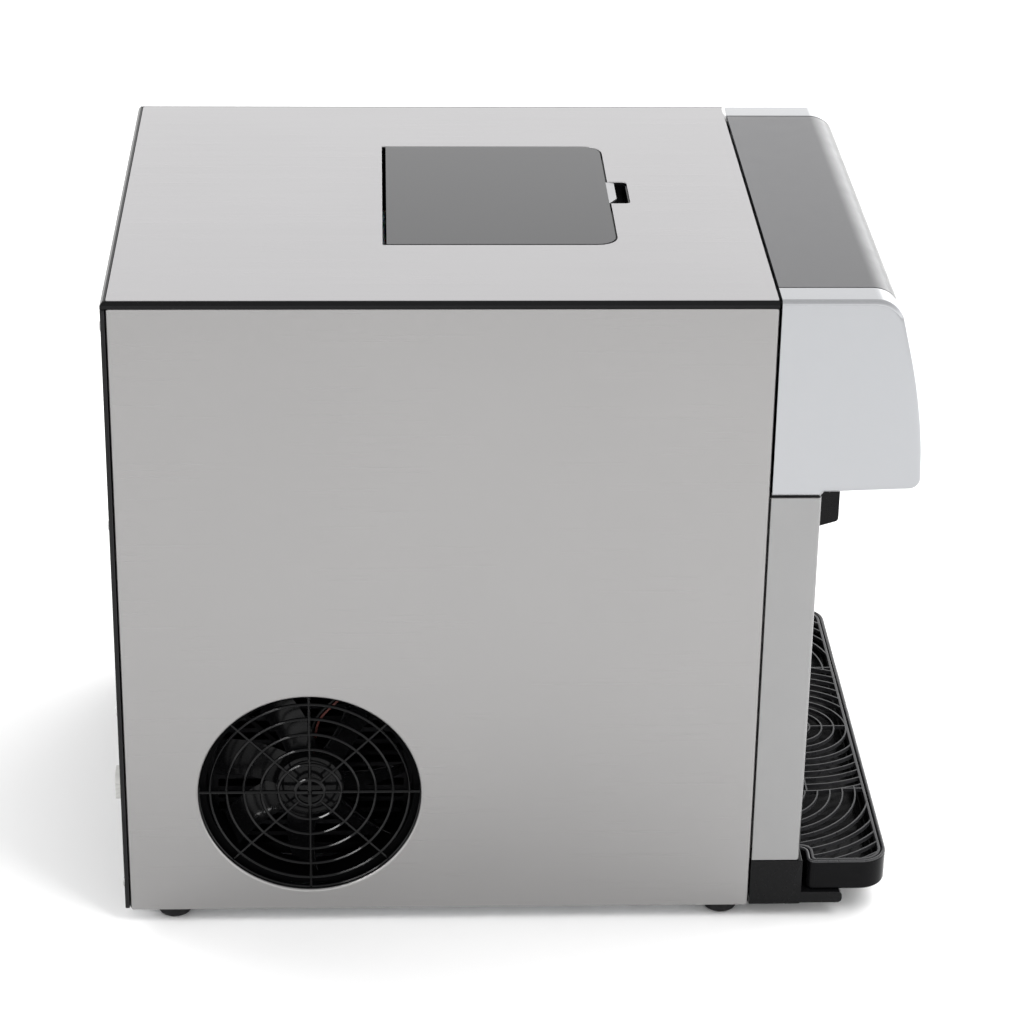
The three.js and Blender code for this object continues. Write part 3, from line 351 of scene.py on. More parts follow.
def rounded(corners, steps=6):
    """Outline through corners (u, v, radius), each rounded by an arc of so many steps a quarter turn."""
    points = []
    count = len(corners)
    for i, corner in enumerate(corners):
        here = Vector(corner[:2])
        radius = corner[2] if len(corner) > 2 else 0
        if radius == 0:
            points.append(here)
            continue
        back = (Vector(corners[i - 1][:2]) - here).normalized()
        on = (Vector(corners[(i + 1) % count][:2]) - here).normalized()
        half = back.angle(on) / 2
        centre = here + (back + on).normalized() * (radius / math.sin(half))
        start = here + back * (radius / math.tan(half)) - centre
        turn = math.pi - 2 * half
        if back.cross(on) > 0:
            turn = -turn
        arcs = max(2, math.ceil(steps * abs(turn) / (math.pi / 2) - 0.01))
        for k in range(arcs + 1):
            points.append(centre + Matrix.Rotation(turn * k / arcs, 2) @ start)
    return points


def rectangle(u0, u1, v0, v1, radius=0):
    return [(u0, v0, radius), (u1, v0, radius), (u1, v1, radius), (u0, v1, radius)]


def around(u, v, half_u, half_v, radius=0):
    return rectangle(u - half_u, u + half_u, v - half_v, v + half_v, radius)


def arc(u, v, radius, turns):
    return [Vector((u + radius * math.cos(turn), v + radius * math.sin(turn))) for turn in turns]


def circle(u, v, radius, sides=64):
    return arc(u, v, radius, [2 * math.pi * k / sides for k in range(sides)])


def skin(rings, closed=False):
    """A solid through rings of equally many points. Its ends are capped or, if it is closed, joined up."""
    count = len(rings[0])
    loops = [range(k * count, (k + 1) * count) for k in range(len(rings))]
    faces = [] if closed else [tuple(loops[0]), tuple(loops[-1])]
    for k in range(0 if closed else 1, len(loops)):
        for i in range(count):
            j = (i + 1) % count
            faces.append((loops[k - 1][i], loops[k - 1][j], loops[k][j], loops[k][i]))
    return [point for ring in rings for point in ring], faces


def loft(axis, rings, closed=False):
    """The solid through rings [(outline points, height)] across an axis."""
    return skin([[spot(axis, p[0], p[1], w) for p in outline] for outline, w in rings], closed)


def prism(axis, outline, low, high):
    if not isinstance(outline[0], Vector):
        outline = rounded(outline)
    return loft(axis, [(outline, low), (outline, high)])


def block(x0, x1, y0, y1, z0, z1):
    return prism("z", rectangle(x0, x1, y0, y1), z0, z1)


def rod(axis, radius, low, high, u, v, sides=48):
    return prism(axis, circle(u, v, radius, sides), low, high)


def lathe(axis, profile, u, v, sides=64):
    """A solid turned about (u, v), from (radius, height) points. Clear of the line, it is a ring."""
    points, faces, rows = [], [], []
    for radius, w in profile:
        first = len(points)
        if radius == 0:
            rows.append([first] * sides)
            points.append(spot(axis, u, v, w))
        else:
            rows.append(list(range(first, first + sides)))
            points.extend(spot(axis, p.x, p.y, w) for p in circle(u, v, radius, sides))
    hollow = profile[0][0] > 0 and profile[-1][0] > 0
    for k in range(len(rows) - (0 if hollow else 1)):
        low, high = rows[k], rows[(k + 1) % len(rows)]
        for i in range(sides):
            j = (i + 1) % sides
            face = tuple(dict.fromkeys((low[i], low[j], high[j], high[i])))
            if len(face) > 2:
                faces.append(face)
    return points, faces


def sweep(path, radius, sides=16, smooth=6):
    """A round wire along a smooth line through points."""
    line = smooth_line([Vector(p) for p in path], smooth)
    normal = (line[1] - line[0]).orthogonal().normalized()
    round_wire = circle(0, 0, radius, sides)
    rings = []
    for i, here in enumerate(line):
        ahead = (line[min(i + 1, len(line) - 1)] - line[max(i - 1, 0)]).normalized()
        normal = (normal - ahead * normal.dot(ahead)).normalized()
        other = ahead.cross(normal)
        rings.append([tuple(here + normal * p.x + other * p.y) for p in round_wire])
    return skin(rings)


def smooth_line(points, steps):
    """Catmull-Rom line through points."""
    ends = [points[0] * 2 - points[1], *points, points[-1] * 2 - points[-2]]
    line = []
    for i in range(1, len(ends) - 2):
        a, b, c, d = ends[i - 1:i + 3]
        for k in range(steps):
            t = k / steps
            line.append(0.5 * (2 * b + (c - a) * t + (2 * a - 5 * b + 4 * c - d) * t * t
                               + (3 * b - a - 3 * c + d) * t ** 3))
    line.append(points[-1])
    return line


def merged(*solids):
    points, faces = [], []
    for more_points, more_faces in solids:
        shift = len(points)
        points.extend(more_points)
        faces.extend(tuple(i + shift for i in face) for face in more_faces)
    return points, faces


def moved(solid, matrix):
    return [tuple(matrix @ Vector(p)) for p in solid[0]], solid[1]


def polar_lattice(axis, u, v, rings, spokes, low, high, steps):
    """A flat lattice about (u, v), solid inside its first ring. Rings are (inner, outer) radii, spokes are
    (angle in degrees, half width, first radius), and the gap between two spokes is crossed in some steps."""
    radii = sorted({radius for ring in rings for radius in ring})
    solid_bands = {radii.index(inner) for inner, _ in rings}
    spokes = sorted(spokes)
    following = spokes[1:] + [(spokes[0][0] + 360, *spokes[0][1:])]

    def spread(half, radius):
        return math.degrees(math.asin(min(half / radius, 1)))

    def edge_angles(radius):
        angles = []
        for (angle, half, _), (next_angle, next_half, _) in zip(spokes, following):
            angles.append(angle - spread(half, radius))
            start, end = angle + spread(half, radius), next_angle - spread(next_half, radius)
            angles.extend(start + (end - start) * k / steps for k in range(steps))
        return angles

    count = len(spokes) * (steps + 1)
    points = []
    for radius in radii:
        for angle in edge_angles(radius):
            turn = math.radians(angle)
            for w in (low, high):
                points.append(spot(axis, u + radius * math.cos(turn), v + radius * math.sin(turn), w))

    def corner(k, j, side):
        return (k * count + j % count) * 2 + side

    def is_solid(k, j):
        """Whether the cell outside radius k and after angle j is filled, counting the middle as filled."""
        if k < 0:
            return True
        if k >= len(radii) - 1:
            return False
        spoke, step = divmod(j % count, steps + 1)
        return k in solid_bands or step == 0 and radii[k] >= spokes[spoke][2] - 0.01

    faces = []
    for k in range(len(radii) - 1):
        for j in range(count):
            if not is_solid(k, j):
                continue
            a, b, c, d = (k, j), (k, j + 1), (k + 1, j + 1), (k + 1, j)
            faces.append(tuple(corner(*place, 1) for place in (a, b, c, d)))
            faces.append(tuple(corner(*place, 0) for place in (a, d, c, b)))
            walls = [((k, j - 1), a, d), ((k, j + 1), c, b), ((k - 1, j), b, a), ((k + 1, j), d, c)]
            for beside, one, two in walls:
                if not is_solid(*beside):
                    faces.append((corner(*one, 0), corner(*one, 1), corner(*two, 1), corner(*two, 0)))
    faces.append(tuple(corner(0, j, 1) for j in range(count)))
    faces.append(tuple(corner(0, j, 0) for j in reversed(range(count))))
    return points, faces


# ---------- Objects ----------

def object_of(name, solid):
    mesh = bpy.data.meshes.new(name)
    mesh.from_pydata([at(*p) for p in solid[0]], [], solid[1])
    made = bpy.data.objects.new(name, mesh)
    SCENE.collection.objects.link(made)
    shape = bmesh.new()
    shape.from_mesh(mesh)
    bmesh.ops.remove_doubles(shape, verts=shape.verts, dist=0.002 * MM)
    bmesh.ops.recalc_face_normals(shape, faces=shape.faces)
    shape.to_mesh(mesh)
    shape.free()
    return made


def bake_modifiers(obj):
    graph = bpy.context.evaluated_depsgraph_get()
    mesh = bpy.data.meshes.new_from_object(obj.evaluated_get(graph))
    old = obj.data
    obj.modifiers.clear()
    obj.data = mesh
    bpy.data.meshes.remove(old)


def boolean(obj, operation, others):
    """Combines an object with solids, or with other objects, which it uses up."""
    for other in others:
        tool = object_of("tool", other) if isinstance(other, tuple) else other
        step = obj.modifiers.new("cut", "BOOLEAN")
        step.object = tool
        step.operation = operation
        step.solver = "EXACT"
        bake_modifiers(obj)
        bpy.data.objects.remove(tool)


def carve(obj, *others):
    boolean(obj, "DIFFERENCE", others)


def join(obj, *others):
    boolean(obj, "UNION", others)


def trim(obj, *others):
    boolean(obj, "INTERSECT", others)


def weld(obj, gap, where):
    """Joins points that pass a test and are closer than a gap, so that a boolean leaves no slivers."""
    shape = bmesh.new()
    shape.from_mesh(obj.data)
    points = [v for v in shape.verts if where(v.co.x / MM, v.co.y / MM - FRONT, v.co.z / MM)]
    bmesh.ops.remove_doubles(shape, verts=points, dist=gap * MM)
    shape.to_mesh(obj.data)
    shape.free()


def soften(obj, width, segments=3, sharper=35, where=None):
    """Rounds the sharp edges, or those whose middle, in shape millimetres, passes a test."""
    shape = bmesh.new()
    shape.from_mesh(obj.data)
    bmesh.ops.dissolve_degenerate(shape, dist=0.001 * MM, edges=shape.edges)
    limit = math.radians(sharper)
    edges = []
    for edge in shape.edges:
        if len(edge.link_faces) != 2 or edge.calc_face_angle(0) < limit:
            continue
        middle = (edge.verts[0].co + edge.verts[1].co) / 2 / MM
        if where is None or where(middle.x, middle.y - FRONT, middle.z):
            edges.append(edge)
    bmesh.ops.bevel(shape, geom=edges, offset=width * MM, segments=segments, profile=0.5, affect="EDGES",
                    clamp_overlap=True, loop_slide=True)
    shape.to_mesh(obj.data)
    shape.free()


def finish_piece(obj, material, slot, *stands_for, body="machine", sharper=32):
    """Shades a piece smooth except over sharp edges, and tells the frame what it rides on and stands for."""
    obj.data.shade_smooth()
    obj.data.set_sharp_from_angle(angle=math.radians(sharper))
    weights = obj.modifiers.new("normals", "WEIGHTED_NORMAL")
    weights.keep_sharp = True
    bake_modifiers(obj)
    obj.data.name = obj.name
    obj.data.materials.clear()
    obj.data.materials.append(MATERIALS[material])
    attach(obj, body)
    if stands_for:
        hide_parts(*stands_for)


# ---------- Body shell ----------

HALF, INNER_HALF = 180, 178.4
DEPTH = 400
REAR_INNER, REAR_FACE = DEPTH + 0.3, DEPTH + 3
SIDE_LOW, SIDE_TOP, TOP = 10, 427, 431.8
SHEET = 1.2
BELOW_LID, ABOVE_LID = 400, 440
# The middle of the side fan in Y and Z, and the radius of its opening.
FAN, FAN_HOLE = (283.4, 94.6), 70.5
# How far outside the fan opening its drawn edge meets the flat sheet.
ROLL = 2
VENT_FOOT, VENT_PITCH, VENT_HEIGHT = 40, 13, 5
# Middles of the columns of vents, half their width, and the rows in each.
SIDE_VENTS, REAR_VENTS = ((230, 300), 28, 10), ((-70, 10), 32, 8)
# Middles of the rear fittings, in X and Z.
POWER_INLET, WATER_INLET, DRAIN = (90, 62), (130, 170), (-140, 82)


def from_fan(y, z):
    return math.dist((y, z), FAN)


def vents(axis, middles, half, rows, radius, low, high):
    """Columns of long slots, one above another, as one solid to cut out."""
    slots = []
    for middle in middles:
        for row in range(rows):
            foot = VENT_FOOT + VENT_PITCH * row
            outline = rectangle(middle - half, middle + half, foot, foot + VENT_HEIGHT, radius)
            slots.append(prism(axis, outline, low, high))
    return merged(*slots)


def side_panel(side):
    """A sheet with its front and back edges bent inwards in a small radius, and rounded corners."""
    flange, bend = HALF - 10, 2.2
    inside = bend - SHEET
    plan = [(flange, 0, 0), (HALF, 0, bend), (HALF, DEPTH, bend), (flange, DEPTH, 0),
            (flange, DEPTH - SHEET, 0), (HALF - SHEET, DEPTH - SHEET, inside), (HALF - SHEET, SHEET, inside),
            (flange, SHEET, 0)]
    name = "right_side_panel" if side > 0 else "left_side_panel"
    obj = object_of(name + "_skin", prism("z", [(side * x, y, r) for x, y, r in plan], SIDE_LOW, SIDE_TOP))
    trim(obj, prism("x", rectangle(0, DEPTH, SIDE_LOW, SIDE_TOP, 2.6), -HALF - 5, HALF + 5))
    if side < 0:
        carve(obj, rod("x", FAN_HOLE + ROLL, -HALF - 5, -HALF + 5, *FAN, 128))
    else:
        carve(obj, vents("x", *SIDE_VENTS, 2.45, HALF - 5, HALF + 5))
    soften(obj, 0.35, where=lambda x, y, z: side > 0 or from_fan(y, z) > FAN_HOLE + ROLL + 2)
    if side < 0:
        drawn_edge(obj)
    finish_piece(obj, "side_steel", "stainless", name)


def drawn_edge(obj):
    """The fan opening's edge, drawn inwards in a smooth curve."""
    outer, bend, depth, steps = -HALF, 1.7, 1.95, 6
    rim = FAN_HOLE + ROLL + 0.01
    curve = [(rim, outer)]
    for k in range(steps + 1):
        turn = math.pi / 2 * k / steps
        curve.append((FAN_HOLE + bend * (1 - math.sin(turn)), outer + bend * (1 - math.cos(turn))))
    curve += [(FAN_HOLE, outer + depth), (FAN_HOLE + 0.8, outer + depth),
              (FAN_HOLE + 1.1, outer + SHEET + 0.1), (rim, outer + SHEET)]
    join(obj, lathe("x", curve, *FAN, 128))
    weld(obj, 0.12, where=lambda x, y, z: abs(from_fan(y, z) - FAN_HOLE - ROLL) < 0.1)


def side_louvres():
    """Sloping vanes behind the right panel's slots."""
    outer, inner = HALF - 1.3, HALF - 6
    middles, half, rows = SIDE_VENTS
    vanes = []
    for y in middles:
        for row in range(rows):
            z = VENT_FOOT + VENT_PITCH * row
            slope = [(outer, z + 5.4), (outer, z + 6.4), (inner, z + 1.6), (inner, z + 0.6)]
            vanes.append(prism("y", slope, y - half, y + half))
    obj = object_of("right_louvres", merged(*vanes))
    soften(obj, 0.2, 2)
    finish_piece(obj, "side_steel", "stainless")


# Left, right, front and back.
LID = (-85, 95, 91, 233.5)
POCKET = (-12.5, 27, 77.5, 93)
LID_GAP, HINGE_GAP = 1.1, 2.5
LID_LOW = 428.2
# The hinge's centre line in Y and Z, and the radius of its bore.
HINGE, HINGE_BORE = (231, 429), 1.5


def lid_outline(grow, rear=None):
    left, right, front, back = LID
    rear = grow if rear is None else rear
    radius = max(12 + grow, 1)
    return [(left - grow, front - grow, radius), (right + grow, front - grow, radius),
            (right + grow, back + rear, 0.6), (left - grow, back + rear, 0.6)]


def pocket_outline(grow):
    left, right, front, back = POCKET
    return rectangle(left - grow, right + grow, front - grow, back + grow, 3 + grow)


def in_pocket(x, y, z):
    left, right, front, back = POCKET
    return left < x < right and front < y < back and TOP - 10 < z < TOP - 0.5


def top_panel():
    edge = HALF - 2.3
    obj = object_of("top_sheet", prism("z", rectangle(-edge, edge, 0.5, DEPTH - 0.3, 2), TOP - SHEET, TOP))
    carve(obj, prism("z", lid_outline(LID_GAP, HINGE_GAP), TOP - 5, TOP + 5),
          prism("z", pocket_outline(0), TOP - 5, TOP + 5))
    soften(obj, 0.45)
    # The top steel's lighter colour is painted light from above.
    finish_piece(obj, "top_steel_painted_light", "stainless", "top_panel")


def top_frame():
    """The moulded frame under the top sheet, with the hatch well and the finger pocket."""
    front, back, low = 0.3, REAR_FACE, SIDE_TOP + 0.3
    shoulder, slope = low + 2.2, 1.8
    across = [(-HALF, low), (HALF, low), (HALF, shoulder), (HALF - slope, TOP), (slope - HALF, TOP),
              (-HALF, shoulder)]
    obj = object_of("top_moulding", prism("y", across, front, back))
    side = [(front, low), (back, low), (back, shoulder), (back - slope, TOP), (front, TOP)]
    trim(obj, prism("x", side, -HALF - 1, HALF + 1))
    carve(obj, block(2 - HALF, HALF - 2, 0, DEPTH, TOP - 1.5, TOP + 5))
    skirt = object_of("skirt", block(-INNER_HALF, INNER_HALF, 1.6, DEPTH - 1.6, SIDE_TOP - 8, low + 1))
    carve(skirt, block(2.5 - INNER_HALF, INNER_HALF - 2.5, 4, DEPTH - 4, 0, low))
    join(obj, skirt, prism("z", lid_outline(LID_GAP + 2.5, HINGE_GAP + 2.5), 414, low + 1),
         prism("z", pocket_outline(2), TOP - 11, low + 1))
    left, right, near, far = LID
    end = far + HINGE_GAP
    well = [(left + 4, near + 4, 8), (right - 4, near + 4, 8), (right - 4, end, 0.5), (left + 4, end, 0.5)]
    carve(obj, prism("z", lid_outline(LID_GAP, HINGE_GAP), 428, TOP + 5),
          prism("z", well, BELOW_LID, ABOVE_LID),
          prism("z", pocket_outline(-0.9), TOP - 9, TOP + 5),
          rod("x", HINGE_BORE, left - 4, right + 4, *HINGE, 24),
          block(left - LID_GAP, right + LID_GAP, 227.5, end, 424, ABOVE_LID))
    soften(obj, 1.0, 4, 60, where=in_pocket)
    soften(obj, 0.3, 2, where=lambda x, y, z: not in_pocket(x, y, z))
    finish_piece(obj, "gloss_black", "black_plastic", "top_frame")


def hatch_lid():
    left, right, front, back = LID
    low = TOP - 2.2
    obj = object_of("hatch_door", prism("z", lid_outline(0), low, TOP))
    rim = object_of("rim", prism("z", lid_outline(0), LID_LOW, low + 1))
    carve(rim, prism("z", lid_outline(-1.8), BELOW_LID, low))
    join(obj, rim, rod("x", 2.7, left, right, *HINGE, 32))
    carve(obj, rod("x", HINGE_BORE, left - 5, right + 5, *HINGE, 24),
          block(left - 1, right + 1, back, back + 10, BELOW_LID, ABOVE_LID))
    soften(obj, 0.35, where=lambda x, y, z: z > TOP - 4.5)
    finish_piece(obj, "smoked", "smoked_lid", "hatch_lid", body="lid")


def hatch_tab():
    """The finger tab that slopes down from the lid's front edge into the pocket. Its light silver colour is a
    painted reflection of the bright surroundings on its sloped top.
    """
    front, end, slant = LID[2], 85.6, 10
    near, far = POCKET[0] + 0.4, POCKET[1] - 0.4
    side = [(front + 0.4, TOP - 0.1), (end, TOP - 0.6), (end, TOP - 1.8), (front + 0.4, TOP - 1.8)]
    plan = [(near, front + 2), (near, front), (near + slant, end), (far, end), (far, front + 2)]
    obj = object_of("hatch_tab", prism("x", side, near, far))
    trim(obj, prism("z", plan, BELOW_LID, ABOVE_LID))
    soften(obj, 0.3)
    finish_piece(obj, "tab_painted_reflection", "silver_paint", body="lid")


def hatch_gasket():
    """A soft strip round the hatch lid's underside, inside its rim."""
    obj = object_of("hatch_gasket", prism("z", lid_outline(-2.0, -10), LID_LOW + 0.4, LID_LOW + 1.3))
    carve(obj, prism("z", lid_outline(-4.4, -12.4), BELOW_LID, ABOVE_LID))
    soften(obj, 0.3, 2)
    finish_piece(obj, "rubber", "rubber", body="lid")


def rear_panel():
    outline = rectangle(-HALF, HALF, SIDE_LOW + 0.3, SIDE_TOP, 2)
    inside, outside = DEPTH - 5, DEPTH + 10
    obj = object_of("rear_cover", prism("y", outline, REAR_INNER, REAR_FACE))
    carve(obj, vents("y", *REAR_VENTS, 2.4, inside, outside),
          prism("y", around(*POWER_INLET, 14.5, 10.5, 1), inside, outside),
          rod("y", 9, inside, outside, *WATER_INLET), rod("y", 7.3, inside, outside, *DRAIN))
    soften(obj, 0.4)
    finish_piece(obj, "black_plastic", "black_plastic", "rear_panel")


def screws():
    """Cross-head screws that hold the rear panel."""
    edge, y = 168, REAR_FACE
    spots = [(x, z) for x in (-edge, 0, edge) for z in (24, 412)]
    spots += [(x, z) for x in (-edge, edge) for z in (150, 280)]
    head = [(0, y), (3.6, y), (3.6, y + 0.5), (2.9, y + 1.4), (1.6, y + 1.9), (0, y + 2)]
    obj = object_of("rear_screws", merged(*[lathe("y", head, x, z, 24) for x, z in spots]))
    for half_x, half_z in ((1.8, 0.35), (0.35, 1.8)):
        bars = [prism("y", around(x, z, half_x, half_z), y + 1, y + 3) for x, z in spots]
        carve(obj, merged(*bars))
    finish_piece(obj, "screw", "nickel")


FEET = {"foot_front_left": (-165, 17), "foot_front_right": (165, 17),
        "foot_rear_left": (-165, 372), "foot_rear_right": (165, 372)}


def foot(name, x, y):
    profile = [(0, 0), (6.5, 0), (8.4, 0.4), (10.2, 1.7), (11.4, 3.7), (12, 6), (11.9, 8), (11.5, 9.4),
               (11, 9.9), (0, 9.9)]
    obj = object_of(name + "_pad", lathe("z", profile, x, y, 48))
    finish_piece(obj, "rubber", "rubber", name, sharper=50)


# ---------- Front: plinth, columns, splash panel, drip tray ----------

# Fronts are measured from the side panels' front edge, so they are negative.
COLUMN_INNER, COLUMN_TOP, COLUMN_FRONT = 163, 302.5, -31.7
SPLASH_FRONT, SPLASH_BACK = -6.5, -3.5
TRAY_RIM = 41


def plinth():
    """The black foot under the columns, with the shelf that the tray slides on."""
    back, front, shelf_front = -0.5, -34, -61
    body = [(back, 10.3), (front, 10.3, 1.5), (front, 43, 1), (back, 43)]
    shelf = [(back, 11), (shelf_front, 11, 3), (shelf_front, 19, 3), (back, 19)]
    obj = object_of("plinth", prism("x", body, -HALF, HALF))
    join(obj, prism("x", shelf, -HALF, HALF))
    carve(obj, block(-COLUMN_INNER, COLUMN_INNER, -60, SPLASH_FRONT, 19, 60),
          block(-150, 150, -4, 0, 14, 38))
    soften(obj, 0.5)
    finish_piece(obj, "gloss_black", "black_plastic", "front_base")


def column(side):
    name = "right_column" if side > 0 else "left_column"
    near, far = sorted((COLUMN_INNER * side, HALF * side))
    back, wall = -0.7, 2
    plan = [(COLUMN_INNER * side, back, 0.5), (COLUMN_INNER * side, COLUMN_FRONT, 2.5),
            (HALF * side, COLUMN_FRONT, 2.5), (HALF * side, back, 0.5)]
    obj = object_of(name + "_post", prism("z", plan, 43.5, COLUMN_TOP))
    carve(obj, block(near + wall, far - wall, COLUMN_FRONT + wall, 5, 38, COLUMN_TOP - wall))
    soften(obj, 0.4)
    finish_piece(obj, "column_paint", "silver_paint", name)


def splash_panel():
    """The cup bay's back wall, with shallow upright grooves low down."""
    edge, pitch, reach = COLUMN_INNER - 0.3, 12, 144
    obj = object_of("splash_back", block(-edge, edge, SPLASH_FRONT, SPLASH_BACK, 43.3, COLUMN_TOP))
    grooves = [prism("y", rectangle(x - 1.6, x + 1.6, 58, 150, 1.55), SPLASH_FRONT - 1.5, SPLASH_FRONT + 0.9)
               for x in range(-reach, reach + 1, pitch)]
    carve(obj, rod("y", 27.5, -10, 0, 0, 258), merged(*grooves))
    soften(obj, 0.3)
    finish_piece(obj, "gloss_black", "black_plastic", "splash_panel")


def tray_plan(inset):
    wide, neck = 178 - inset, 161 - inset
    front, back, step = -90.4 + inset, -7.2 - inset, -37.6 - inset
    inward, outward, corner = 5 + inset * 0.4, max(5 - inset, 1.5), 18 - inset
    return [(neck, back, 4), (-neck, back, 4), (-neck, step, inward), (-wide, step, outward),
            (-wide, front, corner), (wide, front, corner), (wide, step, outward), (neck, step, inward)]


def tray_loft(section, closed=False):
    """The tray's plan swept along a section of (inset, height) points."""
    return loft("z", [(rounded(tray_plan(inset), 10), z) for inset, z in section], closed)


def drip_tray():
    """A deep tray with a rounded foot and a rolled rim. The rim's top faces take the grid's duller plastic,
    whose lighter colour there is a painted highlight along the rim.
    """
    section = [(2.4, 19.3), (1.3, 19.6), (0.5, 20.3), (0.15, 21.4), (0.15, 37.6), (0.0, 38.1), (0.0, 40.1),
               (0.25, 40.7), (0.8, TRAY_RIM), (1.5, TRAY_RIM), (2.1, 40.75), (2.4, 40.2), (2.4, 23.5),
               (2.9, 22.2), (4.2, 21.3)]
    obj = object_of("drip_tray_pan", tray_loft(section))
    finish_piece(obj, "tray_plastic", "black_plastic", "drip_tray", body="tray", sharper=40)
    # Painted highlight: the faces on top of the rim get the grid's lighter colour.
    obj.data.materials.append(MATERIALS["grid_plastic"])
    for face in obj.data.polygons:
        face.material_index = int(face.center.z > (TRAY_RIM - 0.95) * MM)


RIB_HALF, RIB_PITCH, FIRST_RIB = 0.48, 8.4, 4


def rib_field(name, x, y, rings, spoke_angles, low, high, steps):
    """Concentric ribs about a point, with spokes across them."""
    middles = [FIRST_RIB + RIB_PITCH * k for k in range(rings)]
    ribs = [(middle - RIB_HALF, middle + RIB_HALF) for middle in middles]
    spokes = [(angle, RIB_HALF, 0) for angle in spoke_angles]
    return object_of(name, polar_lattice("z", x, y, ribs, spokes, low, high, steps))


def drip_grid():
    """A round field of ribs in the middle and one at each side, in a frame that drops into the tray."""
    top = TRAY_RIM - 0.4
    low, rib_low = top - 4, top - 2.8
    reach = prism("z", rounded(tray_plan(4), 10), low - 5, top + 5)
    section = [(3.2, low + 0.4), (3.0, low + 0.8), (3.0, top - 0.6), (3.2, top - 0.15), (3.6, top),
               (4.5, top), (4.9, top - 0.15), (5.1, top - 0.6), (5.1, low + 0.4), (4.8, low), (3.4, low)]
    obj = object_of("drip_grid_ribs", tray_loft(section, closed=True))
    centre = rib_field("centre", 0, -48, 11, (0, 90, 180, 270), rib_low, top, 16)
    trim(centre, reach)
    for side in (-1, 1):
        field = rib_field("field", side * 85, -17.6, 15, (90, 270), rib_low, top, 32)
        carve(field, rod("z", 88, low - 5, top + 5, 0, -48, 180))
        trim(field, reach)
        join(centre, field)
    join(obj, centre)
    soften(obj, 0.22, 2, sharper=50, where=lambda x, y, z: z > top - 0.05)
    finish_piece(obj, "grid_plastic", "black_plastic", "drip_grid", body="grid")


# ---------- Dispenser head ----------

HEAD_BACK, HEAD_TOP = -1.2, 432.2
# The head's curved front, as an arc about a centre in Y and Z. The arc's foot is level with its centre.
ARC_RADIUS, ARC_Y, ARC_Z = 400, 307.5, 300
ARC_FOOT = ARC_Y - ARC_RADIUS
PANEL_HALF, PANEL_GAP = 159, 1.2
BUTTONS = {"power": -63, "ice": -21, "water": 21, "clean": 63}
# How far up the arc the buttons and the window sit, in degrees.
BUTTON_ANGLE, WINDOW_ANGLE = 7.5, 12


def head_profile(inset, back):
    """The head's side outline in (y, z), a given distance inside its skin."""
    top, keel, floor, shift = HEAD_TOP - inset, 307.6 + inset, 303 + inset, inset / 2

    def front(z):
        return ARC_Y - math.sqrt(ARC_RADIUS ** 2 - (z - ARC_Z) ** 2) + inset

    corners = [(back, top, 0), (front(420) + 2.2, top, max(18 - inset, 3))]
    corners += [(front(z), z, 0) for z in range(398, 331, -6)]
    return corners + [(front(312), keel, max(7 - inset, 2)), (shift - 33, 305.6 + inset, 0),
                      (shift - 31, floor, 0), (back, floor, 0)]


def up_front(solid, degrees):
    """Moves a solid made at the foot of the front arc up the arc."""
    turn = Matrix.Translation((0, ARC_Y, ARC_Z)) @ Matrix.Rotation(-math.radians(degrees), 4, "X")
    return moved(solid, turn @ Matrix.Translation((0, -ARC_Y, -ARC_Z)))


def window_block(grow, near, far):
    outline = around(0, ARC_Z, 36 + grow, 13 + grow, 3)
    return up_front(prism("y", outline, ARC_FOOT + near, ARC_FOOT + far), WINDOW_ANGLE)


def front_openings(window_grow):
    """What cuts the window and the button holes through the head's front."""
    holes = [rod("y", 8.4, ARC_FOOT - 10, ARC_FOOT + 10, x, ARC_Z) for x in BUTTONS.values()]
    return [window_block(window_grow, -5, 12), *[up_front(hole, BUTTON_ANGLE) for hole in holes]]


def panel_strip(name, outer_inset, inner_inset, half, back, foot):
    """The bent strip between two parallel head outlines."""
    outer, inner = [rounded(head_profile(inset, 5), 10) for inset in (outer_inset, inner_inset)]
    obj = object_of(name, prism("x", outer, -half, half))
    carve(obj, prism("x", inner, -half - 5, half + 5))
    trim(obj, block(-half - 1, half + 1, -120, back, foot, 450))
    return obj


def head_housing():
    wall = 3
    obj = object_of("head_shell", prism("x", rounded(head_profile(0, 4), 10), -HALF, HALF))
    soften(obj, 3.4, 7, where=lambda x, y, z: abs(x) > HALF - 0.01 and y < 3.9)
    trim(obj, block(-200, 200, -120, HEAD_BACK, 290, 450))
    carve(obj, prism("x", rounded(head_profile(5.2, 5), 10), wall - HALF, HALF - wall),
          panel_strip("bed", -1, 2.5, PANEL_HALF, 5, 322), *front_openings(-2))
    finish_piece(obj, "head_paint", "silver_paint", "head_housing", sharper=30)


def control_panel():
    obj = panel_strip("control_fascia", 0, 2.1, PANEL_HALF - PANEL_GAP, HEAD_BACK, 322.7)
    carve(obj, *front_openings(0.3))
    soften(obj, 0.15, 2, 50)
    finish_piece(obj, "panel_black", "gloss_black", "control_panel", sharper=30)


def display_window():
    obj = object_of("display_glass", window_block(0, 0.3, 1.9))
    soften(obj, 0.3)
    finish_piece(obj, "display", "display", "lcd_window")


def button(name, x):
    """A dished cap with a hidden flange behind the panel."""
    face, cap, flange = ARC_FOOT - 0.6, 8, 9.4
    profile = [(0, face + 0.5), (5.5, face + 0.35), (6.8, face + 0.05), (7.3, face), (7.8, face + 0.2),
               (cap, face + 0.7), (cap, face + 6.8), (flange, face + 6.8), (flange, face + 8), (0, face + 8)]
    obj = object_of(f"{name}_cap", up_front(lathe("y", profile, x, ARC_Z, 48), BUTTON_ANGLE))
    finish_piece(obj, "gloss_black", "black_plastic", "button_" + name, body=name + "_key")


# The signs are raised a little from the button, between these two depths.
SIGN_NEAR, SIGN_FAR = ARC_FOOT - 0.55, ARC_FOOT + 0.1


